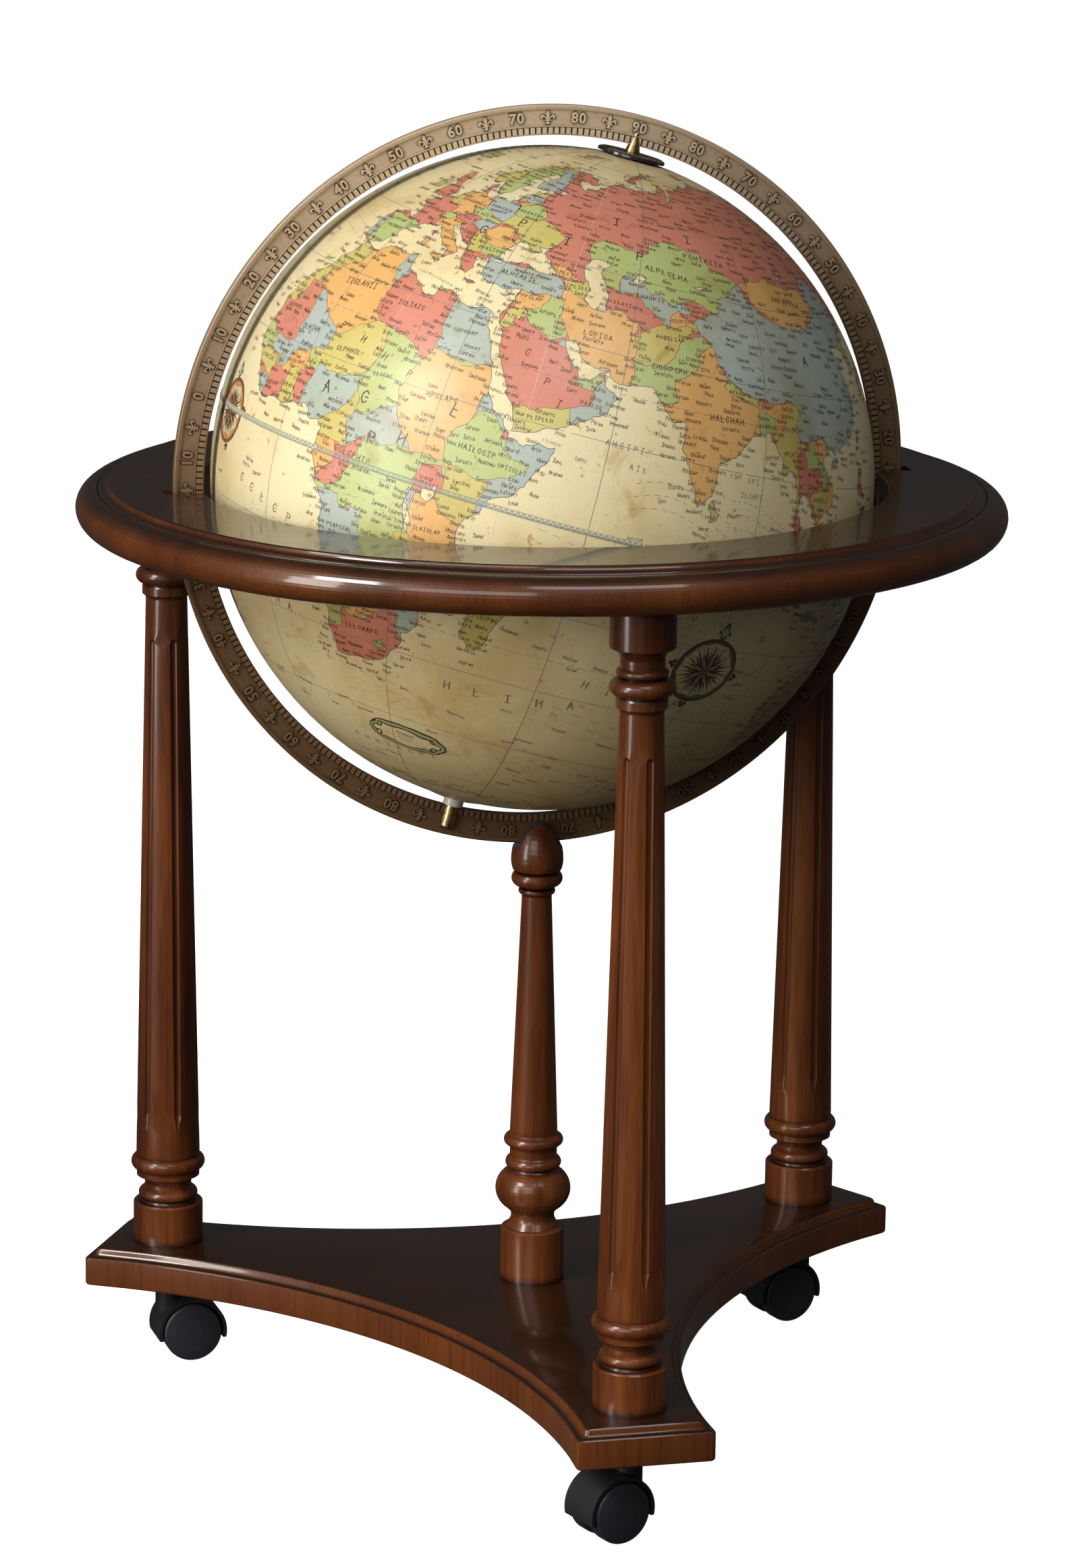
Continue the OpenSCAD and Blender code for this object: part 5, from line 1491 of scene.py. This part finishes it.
CAMERA_AT = Vector((-0.8188, -3.2910, 1.2234))
CAMERA_HEADING = math.radians(-13.927)
CAMERA_DIP = math.radians(13.635)
CAMERA_ROLL = math.radians(0.751)
CAMERA_LENS = 129.1
CAMERA_FILM = 36
CAMERA_SEES = 60
WORLD_LOW = 0.025
WORLD_HIGH = 0.06
FLOOR_GLOW = 0.97
FLOOR_REACH = 30
BACKDROP_R = 25

# Area lights: place, what they point at, size, power and colour
LIGHTS = {
    "key": ((-2.72, -1.30, 2.60), (0, 0, 0.55), (0.9, 1.1), 84, (1.0, 0.98, 0.95)),
    "low_side": ((-2.4, -1.0, 0.65), (0, 0, 0.4), (0.6, 1.4), 30, (1.0, 0.94, 0.86)),
    "front": ((-2.0, -3.3, 1.8), (0, 0, 0.6), (2.2, 1.8), 38, (1.0, 1.0, 1.0)),
    "above": ((0.3, -2.2, 3.3), (0, 0, 0.75), (1.8, 1.4), 30, (1.0, 1.0, 1.0)),
}


def add_camera():
    data = bpy.data.cameras.new("camera")
    data.sensor_fit = "VERTICAL"
    data.sensor_height = CAMERA_FILM
    data.lens = CAMERA_LENS
    data.clip_end = CAMERA_SEES
    cam = bpy.data.objects.new("camera", data)
    bpy.context.scene.collection.objects.link(cam)
    bpy.context.scene.camera = cam
    turn = Matrix.Rotation(CAMERA_HEADING, 4, "Z") @ Matrix.Rotation(math.pi / 2 - CAMERA_DIP, 4, "X")
    cam.matrix_world = Matrix.Translation(CAMERA_AT) @ turn @ Matrix.Rotation(CAMERA_ROLL, 4, "Z")


def add_light(name, place, aim, size, power, colour):
    data = bpy.data.lights.new(name, "AREA")
    data.shape = "RECTANGLE"
    data.size, data.size_y = size
    data.energy = power
    data.color = colour
    lamp = bpy.data.objects.new(name, data)
    bpy.context.scene.collection.objects.link(lamp)
    turn = (Vector(aim) - Vector(place)).to_track_quat("-Z", "Y")
    lamp.matrix_world = Matrix.Translation(place) @ turn.to_matrix().to_4x4()


def add_stage_piece(name, mesh, glow):
    """The floor or the wall round it: white to the camera, and no light from it on the globe."""
    mat, tree, bsdf = new_material(name)
    cloud = noise(tree, coords(tree), 3.0, 2)
    colour = mix(tree, cloud, (0.90, 0.90, 0.90), (0.93, 0.93, 0.93))
    tree.links.new(colour, bsdf.inputs["Base Color"])
    set_inputs(bsdf, Roughness=0.9, Specular_IOR_Level=0.1)
    set_inputs(bsdf, Emission_Color=(1, 1, 1, 1), Emission_Strength=glow)
    mesh.materials.append(mat)
    piece = bpy.data.objects.new(name, mesh)
    bpy.context.scene.collection.objects.link(piece)
    piece.visible_diffuse = False
    piece.visible_glossy = False
    return piece


def add_stage():
    """A white floor inside a white shell, a dim sky that only the globe sees, and the lights."""
    mesh = bpy.data.meshes.new("floor")
    corners = [(x * FLOOR_REACH, y * FLOOR_REACH, 0) for x, y in ((-1, -1), (1, -1), (1, 1), (-1, 1))]
    mesh.from_pydata(corners, [], [(0, 1, 2, 3)])
    add_stage_piece("floor", mesh, FLOOR_GLOW)
    mesh = bpy.data.meshes.new("backdrop")
    shell = bmesh.new()
    bmesh.ops.create_uvsphere(shell, u_segments=64, v_segments=32, radius=BACKDROP_R)
    shell.to_mesh(mesh)
    shell.free()
    backdrop = add_stage_piece("backdrop", mesh, 1.0)
    backdrop.visible_shadow = False
    world = bpy.data.worlds.new("studio")
    bpy.context.scene.world = world
    world.use_nodes = True
    tree = world.node_tree
    height = axis(tree, node(tree, "ShaderNodeTexCoord").outputs["Generated"], "Z")
    glow = to_range(tree, height, WORLD_LOW, WORLD_HIGH, -0.6, 0.7)
    background = tree.nodes["Background"]
    background.inputs["Color"].default_value = (1.0, 0.98, 0.95, 1)
    tree.links.new(glow, background.inputs["Strength"])
    for name, setting in LIGHTS.items():
        add_light(name, *setting)
    bpy.context.scene.view_settings.view_transform = "Standard"


add_camera()
add_stage()
build_base_plate()
build_meridian()
build_map()
